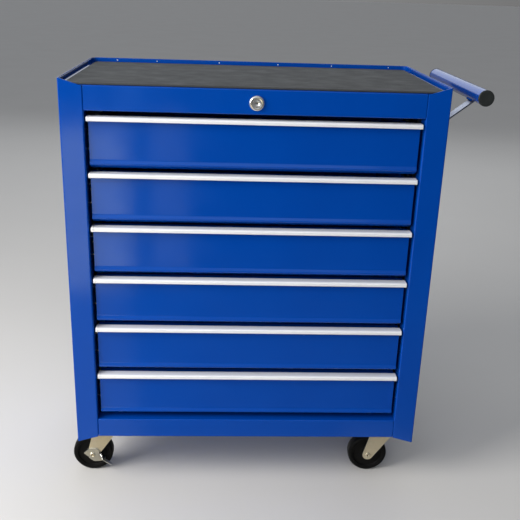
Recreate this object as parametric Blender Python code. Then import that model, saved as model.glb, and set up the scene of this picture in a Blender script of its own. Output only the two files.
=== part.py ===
"""Six-drawer steel tool cart on four swivel casters, with a push handle on its right side.

Run it with blender --background --python part.py, or from Blender's text editor.

Frame: metres, +Z up, the drawers open towards -Y and the handle is at +X. The origin is on the
floor, under the middle of the whole object's box. Pieces are placed in the cabinet's own
coordinates (x from the cabinet's middle, y from its front face, z from the floor) under one
empty that carries them into that frame.
"""

import math

import bmesh
import bpy
from mathutils import Matrix, Vector

# Cabinet
WIDTH = 0.616
DEPTH = 0.324
TOP = 0.738
SHEET = 0.0012
GAP = 0.0003
JOIN = 0.0001
CLEAR_CUT = 0.010
POST_WIDTH = 0.03825
POST_RETURN = 0.028
OPENING_TOP = TOP - 0.0495
OPENING_BOTTOM = TOP - 0.6031
RAIL_BOTTOM = TOP - 0.6393
POST_TIP = TOP - 0.6495
WORKTOP = TOP - 0.010
FRONT_BEND = 0.002
REAR_BEND = 0.012
REAR_FLANGE_END = 0.280
RIM_DROP = 0.001
TOP_RAIL_SHELF = 0.016
TOP_RAIL_LIP = 0.022
BOTTOM_RAIL_SHELF = 0.026
BOTTOM_RAIL_LIP = 0.015
MAT_THICKNESS = 0.003
MAT_MARGIN = 0.0095
MAT_FRONT = 0.0035
MAT_CORNER = 0.006
BACK_LOW = POST_TIP + 0.003

# Drawers
DRAWER_COUNT = 6
PITCH = 0.0908
PULL_TOP = TOP - 0.0584
PULL_HEIGHT = 0.0072
PULL_DEPTH = 0.0165
PULL_NOSE = -0.002
PULL_HALF = 0.2664
PULL_WALL = 0.0015
PULL_NOSE_WALL = 0.0022
PULL_NOSE_RADIUS = 0.0035
PULL_LIP_RADIUS = 0.001
FRONT_FACE = 0.007
FRONT_HALF = 0.2645
FRONT_BRIM = 0.030
FRONT_BRIM_BEND = 0.0018
FRONT_TUCK = 0.030
DRAWER_BASE = TOP - 0.1425
SLOPE_HEIGHT = 0.012
SLOPE_DEPTH = 0.0084
SLOPE_BEND = 0.003
BOX_HALF = 0.2575
BOX_REAR = 0.290
BOX_WALL_TOP = TOP - 0.066

# Slides and the uprights that carry them
SLIDE_CENTRE = TOP - 0.100
CHANNEL_HEIGHT = 0.034
CHANNEL_OUTER = 0.2745
CHANNEL_INNER = 0.2610
CHANNEL_FRONT = 0.030
CHANNEL_REAR = 0.306
CHANNEL_SHEET = 0.0015
MEMBER_HEIGHT = 0.024
MEMBER_DEPTH = 0.0095
MEMBER_FRONT = 0.018
MEMBER_REAR = 0.286
UPRIGHT_WIDTH = 0.030
UPRIGHT_FRONTS = (0.045, 0.255)

# Casters
WHEEL_RADIUS = 0.037
WHEEL_HALF = 0.011
HUB_HALF = 0.0125
SWIVEL_X = 0.262
SWIVEL_Y = 0.050
TRAIL = 0.027
PLATE_SIDE = 0.060
PLATE_THICK = 0.0025
CUP_RADIUS = 0.022
CUP_DEPTH = 0.005
KINGPIN_RADIUS = 0.004
KINGPIN_HEAD_RADIUS = 0.007
KINGPIN_HEAD = 0.003
HUB_RADIUS = 0.011
WEB_INNER = 0.0125
WEB_OUTER = 0.0265
WEB_HALF = 0.0065
TREAD_INNER = 0.0285
TREAD_ROUND = 0.003
CROWN_GAP = 0.0005
CROWN_RADIUS = 0.0215
FORK_SHEET = 0.0025
LEG_INNER = 0.013
LEG_LEADING = 0.0205
LEG_TRAILING = -0.024
LEG_SHOULDER = 0.002
LEG_END_RADIUS = 0.010
AXLE_RADIUS = 0.004
AXLE_HOLE = 0.0043
BOLT_HEAD_RADIUS = 0.0052
BOLT_HEAD = 0.0032
PEDAL_SHEET = 0.002
PAD_SHEET = 0.0015
PAD_DEPTH = 0.007

# Handle
TUBE_RADIUS = 0.0125
TUBE_WALL = 0.0012
TUBE_X = 0.3647
TUBE_Z = TOP - 0.0154
TUBE_MARGIN = 0.008
CAP_RADIUS = 0.013
CAP_FLANGE = 0.003
CAP_ROUND = 0.001
CAP_PLUG = 0.015
STRAP_SHEET = 0.0025
STRAP_WIDTH = 0.022
STRAP_INSET = 0.066
STRAP_KNEE = TOP - 0.068
STRAP_FOOT = 0.032
STRAP_BEND = 0.004
STRAP_SLOPE = math.radians(38)

# Lock
LOCK_Z = TOP - 0.0312
LOCK_BEZEL_RADIUS = 0.012
LOCK_BEZEL_DEPTH = 0.004
LOCK_CHAMFER = 0.0015
LOCK_BARREL_RADIUS = 0.0092
LOCK_BARREL_REAR = 0.020
LOCK_NUT_RADIUS = 0.0135
LOCK_NUT = 0.004
LOCK_HOLE_RADIUS = 0.0095
LOCK_CORE_RADIUS = 0.007
LOCK_CORE_RECESS = 0.0004
LOCK_CORE_REAR = 0.023
KEYWAY_HALF_WIDTH = 0.0024
KEYWAY_HALF_HEIGHT = 0.0007
KEYWAY_REAR = -0.0005
SHAFT_RADIUS = 0.003
CRANK_ARM = 0.007
CRANK_HALF = 0.0035
CRANK_SHEET = 0.003
CRANK_PIN_RADIUS = 0.002
BAR_FRONT = 0.3050
BAR_SHEET = 0.002
BAR_HALF = 0.012
BAR_TOP_MARGIN = 0.008
SLOT_CLEARANCE = 0.0006
CRANK_FRONT = BAR_FRONT - CRANK_SHEET - 0.0015
CRANK_SIDE = CRANK_ARM * math.cos(math.pi / 4)
LOCK_TRAVEL = 2 * CRANK_SIDE
TAB_DROP = 0.026
TAB_REACH = 0.009
TAB_HEIGHT = 0.007
TAB_HALF = 0.007
TAB_SHEET = 0.0015
HOOK_CLEARANCE = 0.001
HOOK_DEPTH = 0.0065
HOOK_REACH = 0.012
HOOK_HALF = 0.006

RING = 24
FINE_RING = 32

# Where the cabinet's own coordinates start, seen from the middle of the whole object's box
HALF_WIDTH = WIDTH / 2
POST_INNER = HALF_WIDTH - POST_WIDTH
LEFTMOST = -(SWIVEL_X + TRAIL + WHEEL_RADIUS)
RIGHTMOST = TUBE_X + CAP_RADIUS
CABINET_PLACE = (-(LEFTMOST + RIGHTMOST) / 2, -(DEPTH - LOCK_BEZEL_DEPTH) / 2, 0)


def clear_scene():
    for old in list(bpy.data.objects):
        bpy.data.objects.remove(old, do_unlink=True)


def make_material(name, colour, metallic, roughness):
    material = bpy.data.materials.new(name)
    material.use_nodes = True
    shader = material.node_tree.nodes["Principled BSDF"]
    shader.inputs["Base Color"].default_value = (*colour, 1)
    shader.inputs["Metallic"].default_value = metallic
    shader.inputs["Roughness"].default_value = roughness
    return material


def make_empty(name, place, parent=None):
    empty = bpy.data.objects.new(name, None)
    bpy.context.collection.objects.link(empty)
    empty.location = place
    empty.parent = parent
    return empty


def put(name, mesh, material, parent, place=(0, 0, 0)):
    """A new object that shows the mesh in the material, placed under its parent."""
    piece = bpy.data.objects.new(name, mesh)
    bpy.context.collection.objects.link(piece)
    if not mesh.materials:
        mesh.materials.append(material)
    piece.location = place
    piece.parent = parent
    return piece


# Mesh helpers


def finished(form, name, smooth=False):
    bmesh.ops.recalc_face_normals(form, faces=form.faces)
    mesh = bpy.data.meshes.new(name)
    form.to_mesh(mesh)
    form.free()
    if smooth:
        mesh.shade_smooth()
        mesh.set_sharp_from_angle(angle=math.radians(35))
    return mesh


def place_point(axis, u, v, along):
    """The point at along on the axis, with u and v on the other two axes in X, Y, Z order."""
    return {"X": (along, u, v), "Y": (u, along, v), "Z": (u, v, along)}[axis]


def prism(outline, low, high, axis):
    """The closed outline, pushed along the axis from low to high."""
    form = bmesh.new()
    rings = [[form.verts.new(place_point(axis, u, v, end)) for u, v in outline] for end in (low, high)]
    for ring in rings:
        form.faces.new(ring)
    for i in range(len(outline)):
        j = (i + 1) % len(outline)
        form.faces.new((rings[0][i], rings[0][j], rings[1][j], rings[1][i]))
    return finished(form, "prism")


def box(low, high):
    outline = [(low[0], low[1]), (high[0], low[1]), (high[0], high[1]), (low[0], high[1])]
    return prism(outline, low[2], high[2], "Z")


def arc(centre, radius, start, end, steps):
    """Points on an arc, with both ends, angles in degrees."""
    angles = [math.radians(start + (end - start) * i / steps) for i in range(steps + 1)]
    return [(centre[0] + radius * math.cos(a), centre[1] + radius * math.sin(a)) for a in angles]


def bent(corners, radii, steps=3):
    """The line through the corners, each inner corner rounded to its radius."""
    points = [Vector(corners[0])]
    for before, corner, after, radius in zip(corners, corners[1:], corners[2:], radii):
        here = Vector(corner)
        back = (Vector(before) - here).normalized()
        ahead = (Vector(after) - here).normalized()
        half = back.angle(ahead) / 2
        run = radius / math.tan(half)
        centre = here + (back + ahead).normalized() * (radius / math.sin(half))
        first = here + back * run - centre
        turn = first.angle_signed(here + ahead * run - centre)
        for i in range(steps + 1):
            points.append(centre + Matrix.Rotation(-turn * i / steps, 2) @ first)
    points.append(Vector(corners[-1]))
    return points


def offset_line(points, distance):
    """The line moved to its left by the distance, mitred at its corners."""
    moved = []
    for i, point in enumerate(points):
        before = (point - points[i - 1]).normalized() if i else None
        after = (points[i + 1] - point).normalized() if i + 1 < len(points) else None
        sides = [Vector((-d.y, d.x)) for d in (before, after) if d is not None]
        middle = sum(sides, Vector((0, 0))).normalized()
        moved.append(point + middle * (distance / middle.dot(sides[0])))
    return moved


def folded_sheet(line, thickness, axis, low, high, smooth=True):
    """A sheet bent along the line, with its thickness on the line's left.

    low and high are its ends on the axis: numbers, or functions of a point on the line.
    """
    pairs = list(zip(line, offset_line(line, thickness)))
    form = bmesh.new()
    ends = []
    for end in (low, high):
        rows = []
        for outer, inner in pairs:
            along = end(outer) if callable(end) else end
            rows.append([form.verts.new(place_point(axis, p.x, p.y, along)) for p in (outer, inner)])
        ends.append(rows)
    for rows in ends:
        for one, two in zip(rows, rows[1:]):
            form.faces.new((one[0], two[0], two[1], one[1]))
    for side in (0, 1):
        for i in range(len(pairs) - 1):
            corners = (ends[0][i][side], ends[0][i + 1][side], ends[1][i + 1][side], ends[1][i][side])
            form.faces.new(corners)
    for i in (0, -1):
        form.faces.new((ends[0][i][0], ends[0][i][1], ends[1][i][1], ends[1][i][0]))
    return finished(form, "sheet", smooth)


def turned(profile, axis="Y", segments=RING, on_flats=False):
    """The profile of (radius, place on the axis) turned round the axis.

    A profile that touches the axis at both ends makes a solid bar, and any other makes a ring.
    With on_flats the facets, not the corners, lie at the radius, and one of them faces down.
    """
    form = bmesh.new()
    closed = profile[0][0] > 0
    step = 2 * math.pi / segments
    stretch = 1 / math.cos(step / 2) if on_flats else 1
    start = (step / 2 if on_flats else 0) - math.pi / 2
    rings = []
    for radius, along in profile:
        if radius == 0:
            rings.append([form.verts.new(place_point(axis, 0, 0, along))])
            continue
        angles = [start + step * i for i in range(segments)]
        points = [(radius * stretch * math.cos(a), radius * stretch * math.sin(a)) for a in angles]
        rings.append([form.verts.new(place_point(axis, u, v, along)) for u, v in points])
    steps = list(zip(rings, rings[1:] + rings[:1]))
    for one, two in steps if closed else steps[:-1]:
        for i in range(segments):
            j = (i + 1) % segments
            corners = [one[i % len(one)], one[j % len(one)], two[j % len(two)], two[i % len(two)]]
            form.faces.new(list(dict.fromkeys(corners)))
    return finished(form, "turned", True)


def bar(radius, low, high, axis="Y", segments=RING):
    return turned([(0, low), (radius, low), (radius, high), (0, high)], axis, segments)


def moved(mesh, shift=(0, 0, 0), turn=None):
    if turn:
        mesh.transform(Matrix.Rotation(*turn))
    mesh.transform(Matrix.Translation(shift))
    return mesh


def cut_and_joined(name, base, steps, smooth=True):
    """The base mesh after Boolean steps, each ("UNION" or "DIFFERENCE", mesh), as one new mesh."""
    work = bpy.data.objects.new("work", base)
    bpy.context.collection.objects.link(work)
    tools = []
    for operation, mesh in steps:
        tool = bpy.data.objects.new("tool", mesh)
        bpy.context.collection.objects.link(tool)
        tools.append(tool)
        modifier = work.modifiers.new(operation, "BOOLEAN")
        modifier.operation = operation
        modifier.solver = "EXACT"
        modifier.object = tool
    bpy.context.view_layer.update()
    graph = bpy.context.evaluated_depsgraph_get()
    result = bpy.data.meshes.new_from_object(work.evaluated_get(graph))
    result.name = name
    for used in [work, *tools]:
        bpy.data.objects.remove(used, do_unlink=True)
    result.materials.clear()
    if smooth:
        result.shade_smooth()
        result.set_sharp_from_angle(angle=math.radians(35))
    return result


def mirrored(mesh, name):
    """A copy of the mesh for the other side of the cabinet's middle plane."""
    form = bmesh.new()
    form.from_mesh(mesh)
    bmesh.ops.scale(form, vec=(-1, 1, 1), verts=form.verts)
    bmesh.ops.reverse_faces(form, faces=form.faces)
    copy = bpy.data.meshes.new(name)
    form.to_mesh(copy)
    form.free()
    return copy


# Cabinet


def side_panel_mesh():
    """Front post, side wall and rear flange of the right side, folded from one sheet."""
    corners = [
        (POST_INNER, POST_RETURN),
        (POST_INNER, 0),
        (HALF_WIDTH, 0),
        (HALF_WIDTH, DEPTH - SHEET - GAP),
        (REAR_FLANGE_END, DEPTH - SHEET - GAP),
    ]
    line = bent(corners, (FRONT_BEND, FRONT_BEND, REAR_BEND), 4)
    inner_top = WORKTOP - SHEET - 2 * GAP

    def across_post(point):
        """0 at the post's inner edge, 1 at its outer edge and along the side wall."""
        if point.y > POST_RETURN + GAP:
            return 1
        return min(max((point.x - POST_INNER) / (POST_WIDTH - FRONT_BEND), 0), 1)

    def lower_end(point):
        if point.x < POST_INNER + FRONT_BEND and FRONT_BEND / 2 < point.y < POST_RETURN + GAP:
            return pan_underside() + SHEET + GAP
        return RAIL_BOTTOM + (POST_TIP - RAIL_BOTTOM) * across_post(point)

    def upper_end(point):
        return inner_top + (TOP - inner_top) * across_post(point)

    return folded_sheet(line, SHEET, "Z", lower_end, upper_end)


def plan_outline(half, front, rear, rear_radius):
    """A plan view symmetric about x = 0, with round rear corners."""
    right = [(half, front), *arc((half - rear_radius, rear - rear_radius), rear_radius, 0, 90, 4)]
    return right + [(-x, y) for x, y in reversed(right)]


def top_tray_mesh():
    half = HALF_WIDTH - SHEET - GAP
    rear = DEPTH - 2 * (SHEET + GAP)
    bend = REAR_BEND
    front = SHEET + GAP
    floor = WORKTOP - SHEET
    rim = TOP - RIM_DROP
    shell = prism(plan_outline(half, front, rear, bend), floor, rim, "Z")
    hollow = plan_outline(half - SHEET, front - CLEAR_CUT, rear - SHEET, bend - SHEET)
    notch_half = POST_INNER + GAP
    notch = box((-notch_half, 0, floor - CLEAR_CUT), (notch_half, TOP_RAIL_SHELF + GAP, TOP))
    steps = [("DIFFERENCE", prism(hollow, WORKTOP, TOP + CLEAR_CUT, "Z")), ("DIFFERENCE", notch)]
    return cut_and_joined("top_tray", shell, steps)


def top_mat_mesh():
    half = HALF_WIDTH - MAT_MARGIN
    rear = DEPTH - MAT_MARGIN
    low = WORKTOP + GAP
    outline = plan_outline(half, MAT_FRONT, rear, MAT_CORNER)
    return prism(outline, low, low + MAT_THICKNESS, "Z")


def top_rail_mesh():
    end = POST_INNER - GAP
    corners = [
        (TOP_RAIL_SHELF, WORKTOP),
        (0, WORKTOP),
        (0, OPENING_TOP),
        (TOP_RAIL_LIP, OPENING_TOP),
    ]
    rail = folded_sheet(bent(corners, (FRONT_BEND, FRONT_BEND)), SHEET, "X", -end, end)
    hole = moved(bar(LOCK_HOLE_RADIUS, -CLEAR_CUT, CLEAR_CUT), (0, 0, LOCK_Z))
    return cut_and_joined("top_rail", rail, [("DIFFERENCE", hole)])


def bottom_rail_mesh():
    end = POST_INNER - GAP
    corners = [
        (BOTTOM_RAIL_SHELF, OPENING_BOTTOM),
        (0, OPENING_BOTTOM),
        (0, RAIL_BOTTOM),
        (BOTTOM_RAIL_LIP, RAIL_BOTTOM),
    ]
    return folded_sheet(bent(corners, (FRONT_BEND, FRONT_BEND)), SHEET, "X", -end, end)


def bottom_pan_mesh():
    half = HALF_WIDTH - SHEET - GAP
    rear = DEPTH - 2 * (SHEET + GAP)
    low = pan_underside()
    return prism(plan_outline(half, FRONT_BEND + SHEET, rear, REAR_BEND), low, low + SHEET, "Z")


def pan_underside():
    return RAIL_BOTTOM + SHEET + GAP


def slide_rack_mesh():
    """Two uprights and the six fixed channels of the right side, welded together."""
    inner = CHANNEL_OUTER - CHANNEL_SHEET
    outer = HALF_WIDTH - SHEET - GAP
    low = pan_underside() + SHEET + GAP
    high = WORKTOP - SHEET - 2 * GAP
    uprights = []
    for front in UPRIGHT_FRONTS:
        rear = front + UPRIGHT_WIDTH
        line = [Vector(p) for p in ((outer, rear), (inner, rear), (inner, front), (outer, front))]
        uprights.append(folded_sheet(line, CHANNEL_SHEET, "Z", low, high, False))
    channels = []
    for number in range(DRAWER_COUNT):
        middle = SLIDE_CENTRE - PITCH * number
        top = middle + CHANNEL_HEIGHT / 2
        base = middle - CHANNEL_HEIGHT / 2
        lip = CHANNEL_OUTER - JOIN
        line = [Vector(p) for p in ((CHANNEL_INNER, top), (lip, top), (lip, base), (CHANNEL_INNER, base))]
        channels.append(folded_sheet(line, -CHANNEL_SHEET, "Y", CHANNEL_FRONT, CHANNEL_REAR, False))
    steps = [("UNION", mesh) for mesh in [uprights[1], *channels]]
    return cut_and_joined("slide_rack_right", uprights[0], steps, False)


def build_cabinet(cabinet, paint, mat_rubber, zinc):
    side = side_panel_mesh()
    put("side_panel_right", side, paint, cabinet)
    put("side_panel_left", mirrored(side, "side_panel_left"), paint, cabinet)
    back_half = HALF_WIDTH - REAR_BEND - GAP
    back = box((-back_half, DEPTH - SHEET, BACK_LOW), (back_half, DEPTH, TOP))
    put("back_panel", back, paint, cabinet)
    put("top_tray", top_tray_mesh(), paint, cabinet)
    put("top_mat", top_mat_mesh(), mat_rubber, cabinet)
    put("top_rail", top_rail_mesh(), paint, cabinet)
    put("bottom_rail", bottom_rail_mesh(), paint, cabinet)
    put("bottom_pan", bottom_pan_mesh(), paint, cabinet)
    rack = slide_rack_mesh()
    put("slide_rack_right", rack, zinc, cabinet)
    put("slide_rack_left", mirrored(rack, "slide_rack_left"), zinc, cabinet)


# Drawers, drawn for the top one with its closed front face at y = FRONT_FACE


def drawer_box_mesh():
    """Floor, walls and front of a drawer, with a catch tab on its rear wall."""
    front_top = PULL_TOP - PULL_WALL - GAP
    corners = [
        (FRONT_BRIM, front_top),
        (FRONT_FACE, front_top),
        (FRONT_FACE, DRAWER_BASE + SLOPE_HEIGHT),
        (FRONT_FACE + SLOPE_DEPTH, DRAWER_BASE),
        (FRONT_TUCK, DRAWER_BASE),
    ]
    line = bent(corners, (FRONT_BRIM_BEND, SLOPE_BEND, SLOPE_BEND))
    front = folded_sheet(line, SHEET, "X", -FRONT_HALF, FRONT_HALF)
    inside = BOX_HALF - SHEET
    floor = DRAWER_BASE + SHEET
    start = FRONT_FACE + SHEET / 2
    shell = box((-BOX_HALF, start, DRAWER_BASE + JOIN), (BOX_HALF, BOX_REAR, BOX_WALL_TOP))
    hollow = box((-inside, FRONT_FACE + 2 * SHEET, floor), (inside, BOX_REAR - SHEET, TOP))
    below = DRAWER_BASE - CLEAR_CUT
    half_way = offset_line(line, SHEET / 2)
    middle = [p for p in half_way if p.x > start + JOIN and p.y < PULL_TOP - SLOPE_HEIGHT]
    corner = [(p.x, p.y) for p in middle if p.y > DRAWER_BASE + SHEET / 2 + JOIN]
    corner += [(corner[-1][0], below), (-CLEAR_CUT, below), (-CLEAR_CUT, corner[0][1])]
    steps = [
        ("DIFFERENCE", prism(corner, -WIDTH, WIDTH, "X")),
        ("DIFFERENCE", hollow),
        ("UNION", front),
        ("UNION", catch_tab_mesh()),
    ]
    return cut_and_joined("drawer_box", shell, steps)


def catch_tab_mesh():
    """The small upturned tab on a drawer's rear wall, which the locking bar's hook holds."""
    low = BOX_WALL_TOP - TAB_DROP
    out = BOX_REAR + TAB_REACH
    line = [Vector(p) for p in ((BOX_REAR - SHEET / 2, low), (out, low), (out, low + TAB_HEIGHT))]
    return folded_sheet(line, TAB_SHEET, "X", -TAB_HALF, TAB_HALF, False)


def pull_mesh():
    """Aluminium pull: a flat top over the drawer front's upper edge and a rounded, hollow nose."""
    rear = PULL_NOSE + PULL_DEPTH
    low = PULL_TOP - PULL_HEIGHT
    nose = PULL_NOSE_RADIUS
    lip = PULL_LIP_RADIUS
    nose_back = PULL_NOSE + PULL_NOSE_WALL
    hollow_radius = nose - PULL_WALL
    outline = [(rear, PULL_TOP - PULL_WALL), (rear, PULL_TOP)]
    outline += arc((PULL_NOSE + nose, PULL_TOP - nose), nose, 90, 180, 4)
    outline += arc((PULL_NOSE + lip, low + lip), lip, 180, 270, 2)
    outline.append((nose_back, low))
    outline += arc((nose_back + hollow_radius, PULL_TOP - nose), hollow_radius, 180, 90, 4)
    return prism(outline, -PULL_HALF, PULL_HALF, "X")


def slide_member_mesh():
    """The moving channel on a drawer's right side, open towards the cabinet's wall."""
    inner = BOX_HALF + GAP
    top = SLIDE_CENTRE + MEMBER_HEIGHT / 2
    base = SLIDE_CENTRE - MEMBER_HEIGHT / 2
    outer = inner + MEMBER_DEPTH
    line = [Vector(p) for p in ((outer, top), (inner, top), (inner, base), (outer, base))]
    return folded_sheet(line, CHANNEL_SHEET, "Y", MEMBER_FRONT, MEMBER_REAR, False)


def build_drawers(cabinet, paint, aluminium, zinc):
    drawer_box = drawer_box_mesh()
    pull = pull_mesh()
    right = slide_member_mesh()
    left = mirrored(right, "slide_member_left")
    for number in range(DRAWER_COUNT):
        name = f"drawer_{number + 1}"
        drawer = make_empty(name + "_slide", (0, 0, -PITCH * number), cabinet)
        put(name + "_box", drawer_box, paint, drawer)
        put(name + "_pull", pull, aluminium, drawer)
        put(name + "_slide_right", right, zinc, drawer)
        put(name + "_slide_left", left, zinc, drawer)


# Casters, drawn round their own swivel axis, with the wheel trailing towards -X


def crown_top():
    return pan_underside() - GAP - PLATE_THICK - CUP_DEPTH - CROWN_GAP


def caster_plate_mesh():
    top = pan_underside() - GAP
    half = PLATE_SIDE / 2
    plate = box((-half, -half, top - PLATE_THICK), (half, half, top))
    cup_low = top - PLATE_THICK - CUP_DEPTH
    cup = bar(CUP_RADIUS, cup_low, top - PLATE_THICK + JOIN, "Z")
    head_top = crown_top() - FORK_SHEET - GAP
    head_low = head_top - KINGPIN_HEAD
    pin = [
        (0, cup_low + JOIN),
        (KINGPIN_RADIUS, cup_low + JOIN),
        (KINGPIN_RADIUS, head_top),
        (KINGPIN_HEAD_RADIUS, head_top),
        (KINGPIN_HEAD_RADIUS, head_low),
        (0, head_low),
    ]
    steps = [("UNION", cup), ("UNION", turned(pin, "Z", 16))]
    return cut_and_joined("caster_plate", plate, steps)


def leg_outline():
    """A fork leg seen from the front: wide at the crown, narrowing to a round end at the axle."""
    joined = crown_top() - FORK_SHEET / 2
    shoulder = crown_top() - FORK_SHEET - LEG_SHOULDER
    end = arc((-TRAIL, WHEEL_RADIUS), LEG_END_RADIUS, 325, 175, 8)
    leading = [(LEG_LEADING, joined), (LEG_LEADING, shoulder)]
    trailing = [(LEG_TRAILING, shoulder), (LEG_TRAILING, joined)]
    return leading + end + trailing


def caster_fork_mesh():
    top = crown_top()
    low = top - FORK_SHEET
    outer = LEG_INNER + FORK_SHEET
    crown = bar(CROWN_RADIUS, low, top, "Z")
    bridge = box((LEG_TRAILING, -outer, low), (LEG_LEADING, outer, top))
    legs = [prism(leg_outline(), side * LEG_INNER, side * outer, "Y") for side in (-1, 1)]
    hole = moved(bar(AXLE_HOLE, -2 * outer, 2 * outer, "Y", 16), (-TRAIL, 0, WHEEL_RADIUS))
    pin_hole = bar(KINGPIN_RADIUS + GAP, 0, TOP, "Z", 16)
    steps = [("UNION", mesh) for mesh in (bridge, *legs)]
    steps += [("DIFFERENCE", hole), ("DIFFERENCE", pin_hole)]
    return cut_and_joined("caster_fork", crown, steps)


def wheel_mesh():
    """A solid wheel with a dished web, about its axle."""
    side = [
        (AXLE_HOLE, HUB_HALF),
        (HUB_RADIUS, HUB_HALF),
        (WEB_INNER, WEB_HALF),
        (WEB_OUTER, WEB_HALF),
        (TREAD_INNER, WHEEL_HALF),
        (WHEEL_RADIUS - TREAD_ROUND, WHEEL_HALF),
        (WHEEL_RADIUS, WHEEL_HALF - TREAD_ROUND),
    ]
    profile = side + [(radius, -along) for radius, along in reversed(side)]
    return turned(profile, "Y", RING, on_flats=True)


def axle_mesh(front_reach):
    """Bolt through both legs, with its head at the front and its nut at the back."""
    back = LEG_INNER + FORK_SHEET + GAP
    profile = [
        (0, -front_reach - BOLT_HEAD),
        (BOLT_HEAD_RADIUS, -front_reach - BOLT_HEAD),
        (BOLT_HEAD_RADIUS, -front_reach),
        (AXLE_RADIUS, -front_reach),
        (AXLE_RADIUS, back),
        (BOLT_HEAD_RADIUS, back),
        (BOLT_HEAD_RADIUS, back + BOLT_HEAD),
        (0, back + BOLT_HEAD),
    ]
    return turned(profile, "Y", 12)


def brake_pedal_mesh():
    """Rocker pedal in front of the fork, about the axle: a plate with a foot pad along each end."""
    plane = -(LEG_INNER + FORK_SHEET + GAP)
    release_pad = [(-0.0236, 0.0129), (-0.0179, 0.0038), (-0.0122, -0.0015), (-0.0072, -0.0061)]
    brake_pad = [(0.0358, -0.0190), (0.0250, -0.0099), (0.0193, -0.0061), (0.0136, 0.0068)]
    belly = [(0, -0.0118), (0.010, -0.0135), (0.0225, -0.0130)]
    crest = [(0.0090, 0.0110), (0, 0.0132), (-0.0080, 0.0110), (-0.0143, 0.0053)]
    outline = release_pad[2:] + belly + brake_pad[1:] + crest
    plate = prism(outline, plane - PEDAL_SHEET, plane, "Y")
    steps = []
    out = plane - PEDAL_SHEET - PAD_DEPTH
    for pad in (release_pad, brake_pad):
        line = [Vector(point) for point in pad]
        steps.append(("UNION", folded_sheet(line, PAD_SHEET, "Y", out, plane - JOIN, False)))
    steps.append(("DIFFERENCE", bar(AXLE_HOLE, 2 * plane, 0, "Y", 16)))
    return cut_and_joined("brake_pedal", plate, steps)


def build_casters(cabinet, zinc, wheel_plastic):
    plate = caster_plate_mesh()
    fork = caster_fork_mesh()
    wheel = wheel_mesh()
    leg_front = LEG_INNER + FORK_SHEET + GAP
    plain_axle = axle_mesh(leg_front)
    braked_axle = axle_mesh(leg_front + PEDAL_SHEET + GAP)
    pedal = brake_pedal_mesh()
    for end, y in (("front", SWIVEL_Y), ("rear", DEPTH - SWIVEL_Y)):
        for side, x in (("left", -SWIVEL_X), ("right", SWIVEL_X)):
            name = f"caster_{end}_{side}"
            braked = side == "left"
            put(name + "_plate", plate, zinc, cabinet, (x, y, 0))
            swivel = make_empty(name + "_swivel", (x, y, 0), cabinet)
            put(name + "_fork", fork, zinc, swivel)
            axle_place = (-TRAIL, 0, WHEEL_RADIUS)
            put(name + "_axle", braked_axle if braked else plain_axle, zinc, swivel, axle_place)
            put(name + "_wheel", wheel, wheel_plastic, swivel, axle_place)
            if braked:
                put(name + "_brake", pedal, zinc, swivel, axle_place)


# Handle


def handle_cap_mesh():
    """Plug for the tube's front end, about the tube's axis, its flange's rear face at y = 0."""
    plug = TUBE_RADIUS - TUBE_WALL - GAP
    profile = [
        (0, -CAP_FLANGE),
        (CAP_RADIUS - CAP_ROUND, -CAP_FLANGE),
        (CAP_RADIUS, -CAP_FLANGE + CAP_ROUND),
        (CAP_RADIUS, -GAP),
        (plug, -GAP),
        (plug, CAP_PLUG),
        (0, CAP_PLUG),
    ]
    return turned(profile, "Y", FINE_RING)


def handle_bracket_mesh():
    """Flat strap: a foot on the side panel, then a slanting arm up to the tube's underside."""
    panel = HALF_WIDTH + GAP + STRAP_SHEET
    reach = TUBE_X - panel
    corners = [
        (panel, STRAP_KNEE - STRAP_FOOT),
        (panel, STRAP_KNEE),
        (panel + reach, STRAP_KNEE + reach * math.tan(STRAP_SLOPE)),
    ]
    line = bent(corners, (STRAP_BEND,))
    strap = folded_sheet(line, STRAP_SHEET, "Y", -STRAP_WIDTH / 2, STRAP_WIDTH / 2)
    tube = moved(bar(TUBE_RADIUS + GAP, -STRAP_WIDTH, STRAP_WIDTH, "Y", FINE_RING), (TUBE_X, 0, TUBE_Z))
    beyond = box((TUBE_X - GAP, -STRAP_WIDTH, STRAP_KNEE), (TUBE_X + CAP_RADIUS, STRAP_WIDTH, TOP))
    return cut_and_joined("handle_bracket", strap, [("DIFFERENCE", tube), ("DIFFERENCE", beyond)])


def build_handle(cabinet, paint, zinc, plug_plastic):
    low = TUBE_MARGIN
    high = DEPTH - TUBE_MARGIN
    inner = TUBE_RADIUS - TUBE_WALL
    tube = turned([(TUBE_RADIUS, low), (TUBE_RADIUS, high), (inner, high), (inner, low)], "Y", FINE_RING)
    put("handle_tube", tube, paint, cabinet, (TUBE_X, 0, TUBE_Z))
    cap = handle_cap_mesh()
    put("handle_cap_front", cap, plug_plastic, cabinet, (TUBE_X, low, TUBE_Z))
    rear_cap = put("handle_cap_rear", cap, plug_plastic, cabinet, (TUBE_X, high, TUBE_Z))
    rear_cap.rotation_euler = (0, 0, math.pi)
    bracket = handle_bracket_mesh()
    put("handle_bracket_front", bracket, zinc, cabinet, (0, STRAP_INSET, 0))
    put("handle_bracket_rear", bracket, zinc, cabinet, (0, DEPTH - STRAP_INSET, 0))


# Lock: its core turns a long shaft whose crank lowers the locking bar behind the drawers


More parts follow.
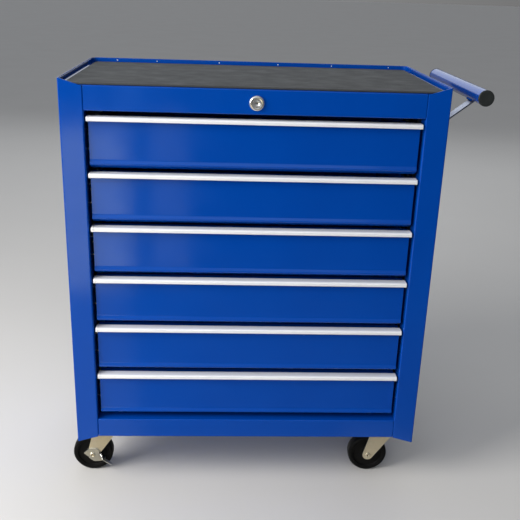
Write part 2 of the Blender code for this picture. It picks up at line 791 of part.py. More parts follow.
def lock_housing_mesh():
    """Threaded barrel with a bezel in front of the top rail and a nut behind it."""
    nut = SHEET + GAP
    bore = LOCK_CORE_RADIUS + GAP
    profile = [
        (bore, -LOCK_BEZEL_DEPTH),
        (LOCK_BEZEL_RADIUS - LOCK_CHAMFER, -LOCK_BEZEL_DEPTH),
        (LOCK_BEZEL_RADIUS, -LOCK_BEZEL_DEPTH + LOCK_CHAMFER),
        (LOCK_BEZEL_RADIUS, -GAP),
        (LOCK_BARREL_RADIUS, -GAP),
        (LOCK_BARREL_RADIUS, nut),
        (LOCK_NUT_RADIUS, nut),
        (LOCK_NUT_RADIUS, nut + LOCK_NUT),
        (LOCK_BARREL_RADIUS, nut + LOCK_NUT),
        (LOCK_BARREL_RADIUS, LOCK_BARREL_REAR),
        (bore, LOCK_BARREL_REAR),
    ]
    return turned(profile)


def lock_core_mesh():
    """Key cylinder, shaft and rear crank, about the lock's axis, with a keyway in its face."""
    face = -LOCK_BEZEL_DEPTH + LOCK_CORE_RECESS
    shaft_rear = CRANK_FRONT + CRANK_SHEET / 2
    profile = [
        (0, face),
        (LOCK_CORE_RADIUS, face),
        (LOCK_CORE_RADIUS, LOCK_CORE_REAR),
        (SHAFT_RADIUS, LOCK_CORE_REAR),
        (SHAFT_RADIUS, shaft_rear),
        (0, shaft_rear),
    ]
    far = CRANK_ARM + CRANK_HALF
    near = -CRANK_HALF
    arm = [(near, -CRANK_HALF), (far, -CRANK_HALF), (far, CRANK_HALF), (near, CRANK_HALF)]
    crank = prism(arm, CRANK_FRONT, CRANK_FRONT + CRANK_SHEET, "Y")
    moved(crank, turn=(-math.pi / 4, 4, "Y"))
    pin_rear = BAR_FRONT + BAR_SHEET + HOOK_CLEARANCE
    pin = bar(CRANK_PIN_RADIUS, CRANK_FRONT + CRANK_SHEET / 2, pin_rear, "Y", 12)
    moved(pin, (CRANK_SIDE, 0, CRANK_SIDE))
    low = (-KEYWAY_HALF_WIDTH, -CLEAR_CUT, -KEYWAY_HALF_HEIGHT)
    keyway = box(low, (KEYWAY_HALF_WIDTH, KEYWAY_REAR, KEYWAY_HALF_HEIGHT))
    steps = [("UNION", crank), ("UNION", pin), ("DIFFERENCE", keyway)]
    return cut_and_joined("lock_core", turned(profile), steps)


def lock_bar_mesh():
    """Flat bar behind the drawers: a slot for the crank's pin, and a hook above each catch tab.

    Lowered by LOCK_TRAVEL, the hooks sit in front of the tabs and hold the drawers shut.
    """
    pin_z = LOCK_Z + CRANK_SIDE
    low = BOX_WALL_TOP - PITCH * (DRAWER_COUNT - 1) - TAB_DROP
    strip = box((-BAR_HALF, BAR_FRONT, low), (BAR_HALF, BAR_FRONT + BAR_SHEET, pin_z + BAR_TOP_MARGIN))
    half_slot = CRANK_PIN_RADIUS + SLOT_CLEARANCE
    swing = CRANK_ARM - CRANK_SIDE + half_slot
    slot_low = (CRANK_SIDE - half_slot, 0, pin_z - half_slot)
    slot = box(slot_low, (CRANK_SIDE + swing, DEPTH, pin_z + half_slot))
    hooks = []
    for number in range(DRAWER_COUNT):
        tab_top = BOX_WALL_TOP - PITCH * number - TAB_DROP + TAB_HEIGHT
        level = tab_top + LOCK_TRAVEL + TAB_SHEET + HOOK_CLEARANCE
        near = BAR_FRONT - HOOK_REACH
        corners = ((BAR_FRONT + BAR_SHEET / 2, level), (near, level), (near, level - HOOK_DEPTH))
        line = [Vector(p) for p in corners]
        hooks.append(folded_sheet(line, TAB_SHEET, "X", -HOOK_HALF, HOOK_HALF, False))
    steps = [("DIFFERENCE", slot)] + [("UNION", hook) for hook in hooks]
    return cut_and_joined("lock_bar", strip, steps, False)


def build_lock(cabinet, chrome, zinc):
    put("lock_housing", lock_housing_mesh(), chrome, cabinet, (0, 0, LOCK_Z))
    put("lock_core", lock_core_mesh(), chrome, cabinet, (0, 0, LOCK_Z))
    put("lock_bar", lock_bar_mesh(), zinc, cabinet)


def main():
    clear_scene()
    paint = make_material("blue_paint", (0.004, 0.055, 0.36), 0.0, 0.28)
    mat_rubber = make_material("worktop_mat", (0.10, 0.105, 0.11), 0.0, 0.75)
    aluminium = make_material("pull_aluminium", (0.80, 0.80, 0.82), 1.0, 0.30)
    zinc = make_material("zinc_plate", (0.62, 0.61, 0.56), 1.0, 0.35)
    chrome = make_material("chrome", (0.82, 0.82, 0.82), 1.0, 0.12)
    wheel_plastic = make_material("wheel_black", (0.012, 0.012, 0.013), 0.0, 0.45)
    plug_plastic = make_material("cap_plastic", (0.018, 0.020, 0.020), 0.0, 0.50)
    cabinet = make_empty("cart", CABINET_PLACE)
    build_cabinet(cabinet, paint, mat_rubber, zinc)
    build_drawers(cabinet, paint, aluminium, zinc)
    build_casters(cabinet, zinc, wheel_plastic)
    build_handle(cabinet, paint, zinc, plug_plastic)
    build_lock(cabinet, chrome, zinc)


main()
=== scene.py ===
"""Looks of the six-drawer tool cart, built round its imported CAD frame.

Metres, +Z up, the drawers open towards -Y and the push handle is at +X. Pieces are modelled in the
cabinet's own coordinates (x from its middle, y from its front face, z from the floor), and casters
round their own swivel axis. Sizes come from the frame's boxes and the named values below.
"""

from math import cos, pi, radians, sin, sqrt, tan

import bmesh
import bpy
from mathutils import Matrix, Vector


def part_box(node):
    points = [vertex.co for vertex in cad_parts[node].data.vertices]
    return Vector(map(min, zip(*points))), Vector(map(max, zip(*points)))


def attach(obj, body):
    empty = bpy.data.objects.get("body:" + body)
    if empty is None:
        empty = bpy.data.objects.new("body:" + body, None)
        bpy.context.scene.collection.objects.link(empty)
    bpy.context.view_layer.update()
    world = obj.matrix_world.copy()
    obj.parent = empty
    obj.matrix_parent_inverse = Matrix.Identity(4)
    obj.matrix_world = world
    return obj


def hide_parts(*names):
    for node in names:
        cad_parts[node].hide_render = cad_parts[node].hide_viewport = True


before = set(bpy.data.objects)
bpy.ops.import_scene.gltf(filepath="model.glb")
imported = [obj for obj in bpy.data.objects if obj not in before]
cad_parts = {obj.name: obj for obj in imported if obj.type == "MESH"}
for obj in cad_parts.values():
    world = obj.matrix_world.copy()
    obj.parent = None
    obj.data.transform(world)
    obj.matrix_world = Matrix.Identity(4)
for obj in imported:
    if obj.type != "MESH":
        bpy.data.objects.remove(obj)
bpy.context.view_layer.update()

panel_low, panel_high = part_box("side_panel_right")
MIDDLE = Vector(((panel_high.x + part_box("side_panel_left")[0].x) / 2, panel_low.y, 0))


def extent(node):
    """Lowest and highest corner of a CAD node in the cabinet's coordinates."""
    low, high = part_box(node)
    return low - MIDDLE, high - MIDDLE


# Sizes read from the frame
HALF_WIDTH = panel_high.x - MIDDLE.x
TOP = panel_high.z
POST_TIP = panel_low.z
POST_INNER = panel_low.x - MIDDLE.x
DEPTH = extent("back_panel")[1].y
BACK_LOW = extent("back_panel")[0].z
UPPER_LOW, UPPER_HIGH = extent("top_rail")
LOWER_LOW, LOWER_HIGH = extent("bottom_rail")
WORKTOP = UPPER_HIGH.z
RAIL_BOTTOM = LOWER_LOW.z
PAN_LOW, PAN_HIGH = extent("bottom_pan")
TRAY_LOW, TRAY_HIGH = extent("top_tray")
MAT_LOW, MAT_HIGH = extent("top_mat")
PULL_LOW, PULL_HIGH = extent("drawer_1_pull")
BOX_LOW = extent("drawer_1_box")[0]
MEMBER_LOW, MEMBER_HIGH = extent("drawer_1_slide_right")
RACK_LOW, RACK_HIGH = extent("slide_rack_right")
PITCH = PULL_HIGH.z - extent("drawer_2_pull")[1].z
TUBE_LOW, TUBE_HIGH = extent("handle_tube")
STRAP_LOW, STRAP_HIGH = extent("handle_bracket_front")
CAP_LOW, CAP_HIGH = extent("handle_cap_front")
LOCK_LOW, LOCK_HIGH = extent("lock_housing")
WHEEL_LOW, WHEEL_HIGH = extent("caster_front_right_wheel")
PLATE_LOW, PLATE_HIGH = extent("caster_front_right_plate")
FORK_TOP = extent("caster_front_right_fork")[1].z
AXLE_Z = (WHEEL_LOW.z + WHEEL_HIGH.z) / 2
TUBE_X = (TUBE_LOW.x + TUBE_HIGH.x) / 2
TUBE_Z = (TUBE_LOW.z + TUBE_HIGH.z) / 2
TUBE_RADIUS = (TUBE_HIGH.x - TUBE_LOW.x) / 2
MEMBER_Z = (MEMBER_LOW.z + MEMBER_HIGH.z) / 2
MEMBER_HALF = (MEMBER_HIGH.z - MEMBER_LOW.z) / 2
LOCK_Z = (LOCK_LOW.z + LOCK_HIGH.z) / 2

# Sheet metal
SHEET = 0.0012
GAP = 0.0003
POST_RETURN = 0.028
FRONT_BEND = 0.002
INNER_BEND = 0.0025
REAR_BEND = 0.012
LEFT_FILLET = 0.0028
RIGHT_FILLET = 0.0008
REAR_FLANGE = 0.028
FILLET_STEPS = 7
RIM_RIVETS = (-0.258, -0.182, -0.062, 0.052, 0.157, 0.269)
RIM_RIVET_RISE = 0.006
RIVET_RADIUS = 0.0034
RIVET_HEIGHT = 0.0012
RIVET_ROWS = 7
RIVET_COLUMNS = 5
RIVET_INSET = 0.025
RIVET_EDGE = 0.009
RIVET_TOP = 0.006
BACK_CORNER = 0.003
MAT_CORNER = 0.006
MAT_EDGE = 0.0007
RAIL_SHELF = 0.016
RAIL_FOOT = 0.015
LOCK_HOLE = 0.0095
OVER = 0.01

# Edges
EDGE = 0.00035
FINE_EDGE = 0.0003
PULL_EDGE = 0.00025
RACK_EDGE = 0.0002
THICK_EDGE = 0.0004
EDGE_SEGMENTS = 2
FLAT_WEIGHT = 80
SHARP = 30
SHEET_ANGLE = 40
PULL_ANGLE = 50
FLAT_ANGLE = radians(0.4)

# Drawers
DRAWER_COUNT = 6
FRONT_FACE = 0.007
FRONT_HALF = 0.2645
FRONT_TUCK = 0.030
FRONT_BRIM = 0.030
SLOPE_HEIGHT = 0.012
TRAY_INSET = 1.6 * SHEET
HEM_HEIGHT = 0.006
TAB_DROP = 0.026
TAB_REACH = 0.009
TAB_HALF = 0.007
TAB_SHEET = 0.0015
SLOPE_DEPTH = 0.0084
SLOPE_BEND = 0.003
BEAD_TOP = 0.0138
BEAD_PEAK = 0.0070
BEAD_SWELL = 0.0030
BEAD_BEND = 0.006
BRIM_BEND = 0.0018
BOX_HALF = 0.2575
BOX_REAR = 0.290
WALL_TOP_DROP = 0.0081
PULL_WALL = 0.0015
PULL_NOSE_RADIUS = 0.0035
PULL_LIP = 0.001
PULL_LIP_DEPTH = 0.0022
PULL_CAP = 0.0042
PULL_CAP_DEPTH = 0.0068
PULL_CAP_OUT = 0.00015

# Slides
CHANNEL_HEIGHT = 0.034
CHANNEL_INNER = 0.2610
CHANNEL_OUTER = 0.2745
CHANNEL_REAR = 0.306
CHANNEL_SHEET = 0.0015
UPRIGHT_WIDTH = 0.030
UPRIGHT_FRONTS = (0.045, 0.255)
BALL_RADIUS = 0.0016
BALL_SPACING = 0.022
BALL_CLEAR = 0.0018
BALLS_START = 0.012
BALLS = 9
CHANNEL_BENDS = (0.002, 0.002)
MEMBER_RIVETS = (0.06, 0.15, 0.24)

# Casters
SWIVEL_X = 0.262
SWIVEL_Y = 0.050
TRAIL = 0.027
FORK_SHEET = 0.0025
LEG_INNER = 0.013
LEG_LEADING = 0.0205
LEG_TRAILING = -0.024
LEG_END_RADIUS = 0.010
WHEEL_HALF = 0.011
CUP_RADIUS = 0.022
BOLT_PLACE = 0.0225
BOLT_RADIUS = 0.0048
WASHER_RADIUS = 0.0065
AXLE_RADIUS = 0.0043
LEG_LEADING_TURN = radians(-35)
LEG_TRAILING_TURN = radians(5)
LEG_STEPS = 14
PEDAL_SHEET = 0.002
PAD_SHEET = 0.0015
PAD_DEPTH = 0.007

# Handle
TUBE_WALL = 0.0012
STRAP_SHEET = 0.0025
STRAP_KNEE_DROP = 0.068
STRAP_SLOPE = radians(38)
STRAP_CORNER = 0.007
BEAD_ANGLE = radians(228)
BEAD_RIPPLES = 22
TUBE_EDGE = 0.0004

# Studio lights: name, place, width and height, power, colour, and whether reflections show them
LIGHTS = (
    ("key", (-1.55, -0.85, 1.25), (1.0, 1.3), 44, (1.0, 0.99, 0.97), True),
    ("fill", (-0.4, -2.6, 2.3), (2.4, 1.2), 7, (0.96, 0.98, 1.0), True),
    ("low", (-0.5, -1.9, 0.80), (1.2, 0.4), 5.5, (0.98, 0.99, 1.0), False),
    ("back", (0.2, 2.7, 2.0), (4.2, 1.9), 24, (0.92, 0.96, 1.0), True),
    ("bounce", (-0.2, -0.45, 0.02), (1.2, 0.4), 0.5, (0.9, 0.96, 1.0), False),
)
LIGHT_TARGET = Vector((0, 0, 0.4))

# Soft patches in front that only reflections see: x, z, width, height, power, colour
PATCH_Y = -2.5
WARM = (1.0, 0.83, 0.45)
REFLECTED_PATCHES = (
    (-0.765, -0.165, 0.47, 0.77, 3.7, WARM),
    (-0.765, -1.125, 0.47, 1.15, 0.9, WARM),
    (-0.335, -0.10, 0.17, 0.80, 0.45, WARM),
    (-0.515, 0.40, 0.12, 0.20, 0.09, (0.4, 0.65, 1.0)),
    (0.86, -1.72, 0.55, 0.50, 0.40, (1.0, 0.93, 0.75)),
)

# World: colours by height, from 0 straight down to 1 straight up, in front and on the other sides
FRONT_SKY = (
    (0.0, (1.0, 0.90, 0.70)),
    (0.218, (1.0, 0.90, 0.70)),
    (0.236, (0.45, 0.37, 0.30)),
    (0.27, (0.42, 0.35, 0.28)),
    (0.35, (0.006, 0.009, 0.014)),
    (0.46, (0.004, 0.008, 0.014)),
    (0.53, (0.50, 0.54, 0.60)),
    (0.70, (0.80, 0.84, 0.90)),
)
SIDE_SKY = (
    (0.0, (0.85, 1.0, 1.0)),
    (0.20, (0.60, 0.59, 0.58)),
    (0.48, (0.60, 0.59, 0.58)),
    (0.53, (0.60, 0.63, 0.68)),
    (0.70, (0.80, 0.84, 0.90)),
)
FRONT_ENDS = (-0.78, -0.60)
FADE_ACROSS = (-0.2, 0.7, 0.52, 0.16)

# Camera
CAMERA_PLACE = (-0.07575, -1.363, 0.8882)
CAMERA_YAW = radians(3.0)
CAMERA_PITCH = radians(-20.17)
CAMERA_ROLL = radians(1.93)
CAMERA_LENS = 52.8


# Materials

EDGE_TURN = (0.97, 0.75)
NOISE_LOW = 0.3
NOISE_HIGH = 0.7


def map_range(tree, value, low, high, new_low=0, new_high=1):
    """The value's range low to high mapped on to new_low to new_high."""
    node = tree.nodes.new("ShaderNodeMapRange")
    for key, number in zip(("From Min", "From Max", "To Min", "To Max"), (low, high, new_low, new_high)):
        node.inputs[key].default_value = number
    tree.links.new(value, node.inputs["Value"])
    return node.outputs["Result"]


def mix_colours(tree, factor, one, two):
    """A blend of two colours, each a tuple or a socket."""
    node = tree.nodes.new("ShaderNodeMix")
    node.data_type = "RGBA"
    tree.links.new(factor, node.inputs["Factor"])
    targets = [socket for socket in node.inputs if socket.type == "RGBA"]
    for target, colour in zip(targets, (one, two)):
        if isinstance(colour, tuple):
            target.default_value = (*colour, 1)
        else:
            tree.links.new(colour, target)
    return [socket for socket in node.outputs if socket.type == "RGBA"][0]


class Wiring:
    """The shader nodes of one material."""

    def __init__(self, name, **settings):
        self.material = bpy.data.materials.new(name)
        self.material.use_nodes = True
        self.tree = self.material.node_tree
        self.shader = self.tree.nodes["Principled BSDF"]
        self.place = self.add("ShaderNodeTexCoord").outputs["Object"]
        for key, value in settings.items():
            self.shader.inputs[key.replace("_", " ")].default_value = value

    def add(self, kind, **settings):
        node = self.tree.nodes.new(kind)
        for key, value in settings.items():
            setattr(node, key, value)
        return node

    def link(self, source, target):
        self.tree.links.new(source, target)

    def noise(self, scale, detail=2, stretch=(1, 1, 1)):
        """Grey noise of the given number of features a metre, stretched along the axes."""
        mapping = self.add("ShaderNodeMapping")
        mapping.inputs["Scale"].default_value = stretch
        self.link(self.place, mapping.inputs["Vector"])
        noise = self.add("ShaderNodeTexNoise")
        noise.inputs["Scale"].default_value = scale
        noise.inputs["Detail"].default_value = detail
        self.link(mapping.outputs["Vector"], noise.inputs["Vector"])
        return noise.outputs["Fac"]

    def cells(self, scale):
        voronoi = self.add("ShaderNodeTexVoronoi")
        voronoi.inputs["Scale"].default_value = scale
        self.link(self.place, voronoi.inputs["Vector"])
        return voronoi.outputs["Distance"]

    def field(self, value):
        """A socket as it is, or the noise that a tuple describes."""
        return self.noise(*value) if isinstance(value, tuple) else value

    def spread(self, value, *ends):
        return map_range(self.tree, self.field(value), *ends)

    def mix(self, factor, one, two):
        return mix_colours(self.tree, self.field(factor), one, two)

    def edges(self, radius):
        """0 on flats, towards 1 on edges sharper than the radius, by how far a bevel turns the normal."""
        bevel = self.add("ShaderNodeBevel", samples=4)
        bevel.inputs["Radius"].default_value = radius
        geometry = self.add("ShaderNodeNewGeometry")
        dot = self.add("ShaderNodeVectorMath", operation="DOT_PRODUCT")
        self.link(bevel.outputs["Normal"], dot.inputs[0])
        self.link(geometry.outputs["Normal"], dot.inputs[1])
        return self.spread(dot.outputs["Value"], *EDGE_TURN)

    def finish(self, colour, roughness, *bumps):
        """The material with its colour, roughness and stacked bumps.

        Roughness is (noise, smooth, rough), spread over the middle of the noise's range unless a
        fourth value says where it starts. Each bump is (height, distance in metres, strength).
        """
        noise, smooth, rough, *start = roughness
        spread = self.spread(noise, *(start or [NOISE_LOW]), NOISE_HIGH, smooth, rough)
        self.link(spread, self.shader.inputs["Roughness"])
        self.link(colour, self.shader.inputs["Base Color"])
        below = None
        for height, distance, strength in bumps:
            bump = self.add("ShaderNodeBump")
            bump.inputs["Distance"].default_value = distance
            bump.inputs["Strength"].default_value = strength
            self.link(self.field(height), bump.inputs["Height"])
            if below:
                self.link(below, bump.inputs["Normal"])
            below = bump.outputs["Normal"]
        if below:
            self.link(below, self.shader.inputs["Normal"])
        return self.material


def powder_coat():
    """Glossy blue powder coat: orange peel, faint cloudiness, and paler blue on edges, partly a thinner coat
    and partly a painted edge highlight.
    """
    look = Wiring("blue_powder_coat", IOR=1.5, Specular_IOR_Level=0.42, Specular_Tint=(0.62, 0.82, 1.0, 1.0))
    clouds = look.mix((7, 3), (0.0001, 0.046, 0.300), (0.0002, 0.056, 0.345))
    # Painted highlight: sharp edges mixed towards a paler, brighter blue, besides the thinner coat there.
    colour = look.mix(look.edges(0.0007), clouds, (0.002, 0.12, 0.50))
    bumps = ((260, 3), 0.00020, 0.06), ((1500, 2), 0.00004, 0.06)
    return look.finish(colour, ((18, 4), 0.09, 0.15), *bumps)


def worktop_rubber():
    """Dark grey sheet with a fine pebble, rubbed paler in places."""
    look = Wiring("worktop_rubber", IOR=1.45, Specular_IOR_Level=0.25)
    base = look.mix((4, 3), (0.050, 0.052, 0.054), (0.055, 0.057, 0.058))
    rubbed = look.spread((9, 6), 0.56, 0.78, 0, 0.20)
    dusty = look.mix(rubbed, base, (0.066, 0.066, 0.064))
    pits = look.spread((1600, 1), 0.62, 0.75, 0, 0.5)
    colour = look.mix(pits, dusty, (0.034, 0.035, 0.036))
    bumps = (look.cells(900), 0.00035, 0.35), ((2600, 2), 0.0001, 0.30), ((9, 2), 0.002, 0.15)
    return look.finish(colour, ((30, 4), 0.62, 0.80), *bumps)


def brushed_aluminium():
    """Extruded, satin anodised aluminium with die lines along x."""
    look = Wiring("satin_aluminium", Metallic=0.2, IOR=1.6)
    colour = look.mix((24, 3), (0.84, 0.84, 0.855), (0.90, 0.90, 0.91))
    bumps = ((1, 3, (3, 2600, 2600)), 0.00006, 0.22), ((700, 2), 0.00004, 0.10)
    return look.finish(colour, ((1, 4, (14, 900, 900)), 0.26, 0.38), *bumps)


def zinc_plate(name, metallic, dull, bright, stain):
    """Zinc plate: clouds between two tones, stained specks, fine grain and rubbed edges."""
    look = Wiring(name, Metallic=metallic, IOR=1.6)
    clouds = look.mix((60, 4), dull, bright)
    specks = look.mix(look.spread((190, 5), 0.55, 0.78, 0, 0.45), clouds, stain)
    rubbed = tuple(min(tone * 1.2, 0.9) for tone in bright)
    colour = look.mix(look.edges(0.0012), specks, rubbed)
    bumps = ((420, 4), 0.00008, 0.15), ((3000, 2), 0.00004, 0.18)
    return look.finish(colour, ((140, 5), 0.28, 0.42), *bumps), "zinc_steel"


def rolled_steel():
    """Greased slide steel, drawn along y."""
    look = Wiring("slide_steel", Metallic=1.0)
    colour = look.mix((40, 4), (0.50, 0.50, 0.49), (0.64, 0.64, 0.63))
    grain = ((1, 3, (1800, 5, 1800)), 0.00006, 0.25)
    return look.finish(colour, ((1, 4, (900, 9, 900)), 0.26, 0.42), grain)


def lock_chrome():
    look = Wiring("polished_chrome", Metallic=0.8, IOR=1.6)
    colour = look.mix((90, 3), (0.66, 0.65, 0.63), (0.82, 0.82, 0.81))
    return look.finish(colour, ((700, 5), 0.12, 0.26, 0.35), ((500, 3), 0.00005, 0.12))


def wheel_rubber():
    """Black moulded wheel: low gloss, a little floor dust and fine mould texture."""
    look = Wiring("wheel_black_polymer", IOR=1.48, Specular_IOR_Level=0.12)
    base = look.mix((80, 3), (0.0040, 0.0040, 0.0042), (0.0080, 0.0076, 0.0072))
    dust = look.spread((150, 6), 0.58, 0.82, 0, 0.25)
    colour = look.mix(dust, base, (0.036, 0.031, 0.026))
    bumps = ((900, 3), 0.00008, 0.20), ((120, 3), 0.0003, 0.12)
    return look.finish(colour, ((120, 5), 0.34, 0.54), *bumps)


def cap_plastic():
    look = Wiring("cap_black_plastic", IOR=1.48)
    colour = look.mix((90, 4), (0.010, 0.012, 0.012), (0.017, 0.020, 0.020))
    bumps = (look.cells(2200), 0.00012, 0.35), ((1200, 2), 0.00005, 0.2)
    return look.finish(colour, ((400, 3), 0.42, 0.60), *bumps)


def dark_recess():
    """Painted shade: a near-black block set inside the keyway, where only shade falls."""
    look = Wiring("keyway_shadow", Metallic=0.6)
    colour = look.mix((900, 3), (0.020, 0.020, 0.019), (0.060, 0.056, 0.048))
    return look.finish(colour, ((900, 2), 0.35, 0.60))


# Each look with its material slot in the record
PAINT = (powder_coat(), "blue_paint")
RUBBER = (worktop_rubber(), "worktop_mat")
ALUMINIUM = (brushed_aluminium(), "pull_aluminium")
ZINC = zinc_plate("bright_zinc", 0.85, (0.78, 0.70, 0.53), (0.86, 0.79, 0.64), (0.62, 0.55, 0.40))
PEDAL_ZINC = zinc_plate("pedal_zinc", 0.9, (0.56, 0.56, 0.52), (0.74, 0.74, 0.71), (0.44, 0.43, 0.38))
# Strap zinc: dark steel whose blue-grey tint is a painted reflection of the blue tube and paint beside it.
STRAP_ZINC = zinc_plate("strap_zinc", 0.9, (0.30, 0.33, 0.42), (0.40, 0.43, 0.53), (0.24, 0.26, 0.33))
STEEL = (rolled_steel(), "zinc_steel")
CHROME = (lock_chrome(), "lock_chrome")
BALL_STEEL = (CHROME[0], "zinc_steel")
TYRE = (wheel_rubber(), "wheel_black")
PLASTIC = (cap_plastic(), "cap_black")
KEYWAY = (dark_recess(), "lock_chrome")


# Mesh helpers


def place_point(axis, u, v, along):
    """The point at along on the axis, with u and v on the other two axes in X, Y, Z order."""
    return {"X": (along, u, v), "Y": (u, along, v), "Z": (u, v, along)}[axis]


def mesh_of(form, name="piece"):
    bmesh.ops.recalc_face_normals(form, faces=form.faces)
    mesh = bpy.data.meshes.new(name)
    form.to_mesh(mesh)
    form.free()
    return mesh


def bridge(form, one, two):
    """Faces between two closed rings, either of which may be a single point."""
    count = max(len(one), len(two))
    for i in range(count):
        j = (i + 1) % count
        corners = [one[i % len(one)], one[j % len(one)], two[j % len(two)], two[i % len(two)]]
        form.faces.new(list(dict.fromkeys(corners)))


def prism(outline, low, high, axis):
    form = bmesh.new()
    rings = [[form.verts.new(place_point(axis, u, v, end)) for u, v in outline] for end in (low, high)]
    for ring in rings:
        form.faces.new(ring)
    bridge(form, *rings)
    return mesh_of(form)


def rectangle(u, v, far_u, far_v):
    return [(u, v), (far_u, v), (far_u, far_v), (u, far_v)]


def box(low, high):
    return prism(rectangle(*low[:2], *high[:2]), low[2], high[2], "Z")


def arc(centre, radius, start, end, steps):
    angles = [radians(start + (end - start) * i / steps) for i in range(steps + 1)]
    return [(centre[0] + radius * cos(a), centre[1] + radius * sin(a)) for a in angles]


def rounded(corners, radii, steps=6):
    """A closed outline with its corners rounded."""
    points = []
    count = len(corners)
    for i, (corner, radius) in enumerate(zip(corners, radii)):
        line = [corners[i - 1], corner, corners[(i + 1) % count]]
        points += [tuple(p) for p in bent(line, (radius,), steps)[1:-1]] if radius else [tuple(corner)]
    return points


def bent(corners, radii, steps=8):
    """The line through the corners, each inner corner rounded to its radius."""
    points = [Vector(corners[0])]
    for before, corner, after, radius in zip(corners, corners[1:], corners[2:], radii):
        here = Vector(corner)
        back = (Vector(before) - here).normalized()
        ahead = (Vector(after) - here).normalized()
        half = back.angle(ahead) / 2
        run = radius / tan(half)
        centre = here + (back + ahead).normalized() * (radius / sin(half))
        first = here + back * run - centre
        turn = first.angle_signed(here + ahead * run - centre)
        for i in range(steps + 1):
            points.append(centre + Matrix.Rotation(-turn * i / steps, 2) @ first)
    points.append(Vector(corners[-1]))
    return points


def offset_line(points, distance):
    """The line moved to its left by the distance, mitred at its corners."""
    moved = []
    for i, point in enumerate(points):
        before = (point - points[i - 1]).normalized() if i else None
        after = (points[i + 1] - point).normalized() if i + 1 < len(points) else None
        sides = [Vector((-d.y, d.x)) for d in (before, after) if d is not None]
        middle = sum(sides, Vector((0, 0))).normalized()
        moved.append(point + middle * (distance / middle.dot(sides[0])))
    return moved


def folded_sheet(line, thickness, axis, low, high):
    """A sheet bent along the line; low and high are its ends on the axis, numbers or functions."""
    line = [Vector(p) for p in line]
    pairs = list(zip(line, offset_line(line, thickness)))
    form = bmesh.new()
    ends = []
    for end in (low, high):
        rows = []
        for outer, inner in pairs:
            along = end(outer) if callable(end) else end
            rows.append([form.verts.new(place_point(axis, p.x, p.y, along)) for p in (outer, inner)])
        ends.append(rows)
    for rows in ends:
        for one, two in zip(rows, rows[1:]):
            form.faces.new((one[0], two[0], two[1], one[1]))
    for side in (0, 1):
        for i in range(len(pairs) - 1):
            form.faces.new((ends[0][i][side], ends[0][i + 1][side], ends[1][i + 1][side], ends[1][i][side]))
    for i in (0, -1):
        form.faces.new((ends[0][i][0], ends[0][i][1], ends[1][i][1], ends[1][i][0]))
    return mesh_of(form)


def turned(profile, axis="Y", segments=64):
    """The profile of (radius, place on the axis) turned round the axis; radius 0 closes an end."""
    form = bmesh.new()
    closed = profile[0][0] > 0
    angles = [2 * pi * i / segments - pi / 2 for i in range(segments)]
    rings = []
    for radius, along in profile:
        if radius == 0:
            rings.append([form.verts.new(place_point(axis, 0, 0, along))])
            continue
        points = [(radius * cos(a), radius * sin(a)) for a in angles]
        rings.append([form.verts.new(place_point(axis, u, v, along)) for u, v in points])
    steps = list(zip(rings, rings[1:] + rings[:1]))
    for one, two in steps if closed else steps[:-1]:
        bridge(form, one, two)
    return mesh_of(form)


def bar(radius, low, high, axis="Y", segments=48):
    return turned([(0, low), (radius, low), (radius, high), (0, high)], axis, segments)


def dome(radius, height, base, axis="Y", direction=-1, segments=24):
    """A low round rivet or screw head that stands on base and bulges in the direction."""
    steps = 5
    profile = [(0, base)]
    for i in range(steps + 1):
        angle = pi / 2 * i / steps
        reach = radius * cos(angle) if i < steps else 0
        profile.append((reach, base + direction * height * sin(angle)))
    return turned(profile, axis, segments)


def hex_head(radius, height, base, axis="Y", direction=-1):
    """A six-sided head with a turned chamfer on its free face."""
    corner = radius / cos(pi / 6)
    outline = [(corner * cos(pi / 3 * i), corner * sin(pi / 3 * i)) for i in range(6)]
    far = base + direction * height
    low, high = sorted((base, far))
    chamfer = height / 4
    beyond = base - direction * height
    cone = [(0, beyond), (2 * corner, beyond), (2 * corner, far - direction * (chamfer + corner))]
    cone += [(radius * 0.98, far), (0, far + direction * 1e-6)]
    return cut_and_joined(prism(outline, low, high, axis), [("INTERSECT", turned(cone, axis, 48))])


def moved(mesh, shift=(0, 0, 0), turn=None):
    if turn:
        mesh.transform(Matrix.Rotation(*turn))
    mesh.transform(Matrix.Translation(shift))
    return mesh


def mirrored(mesh, axis=0):
    """A copy mirrored across x = 0 or y = 0."""
    copy = mesh.copy()
    flip = [1, 1, 1]
    flip[axis] = -1
    copy.transform(Matrix.Diagonal((*flip, 1)))
    copy.flip_normals()
    return copy


def merged(*meshes):
    """One mesh that holds all of these as separate islands."""
    form = bmesh.new()
    for mesh in meshes:
        form.from_mesh(mesh)
    return mesh_of(form)


def cut(base, *tools):
    return cut_and_joined(base, [("DIFFERENCE", tool) for tool in tools])


def cut_and_joined(base, steps):
    """The base mesh after Boolean steps, each (operation, mesh), as one new mesh."""
    work = linked("work", base)
    tools = []
    for operation, mesh in steps:
        tool = linked("tool", mesh)
        tools.append(tool)
        modifier = work.modifiers.new(operation, "BOOLEAN")
        modifier.operation = operation
        modifier.solver = "EXACT"
        modifier.object = tool
    bpy.context.view_layer.update()
    result = bpy.data.meshes.new_from_object(work.evaluated_get(bpy.context.evaluated_depsgraph_get()))
    for used in [work, *tools]:
        bpy.data.objects.remove(used, do_unlink=True)
    return cleaned(result)


def cleaned(mesh):
    """The mesh with its coplanar neighbours merged, so that flats shade flat."""
    form = bmesh.new()
    form.from_mesh(mesh)
    bmesh.ops.remove_doubles(form, verts=form.verts, dist=1e-6)
    bmesh.ops.dissolve_limit(form, angle_limit=FLAT_ANGLE, verts=form.verts, edges=form.edges)
    form.to_mesh(mesh)
    form.free()
    return mesh


def linked(name, data):
    thing = bpy.data.objects.new(name, data)
    bpy.context.scene.collection.objects.link(thing)
    return thing


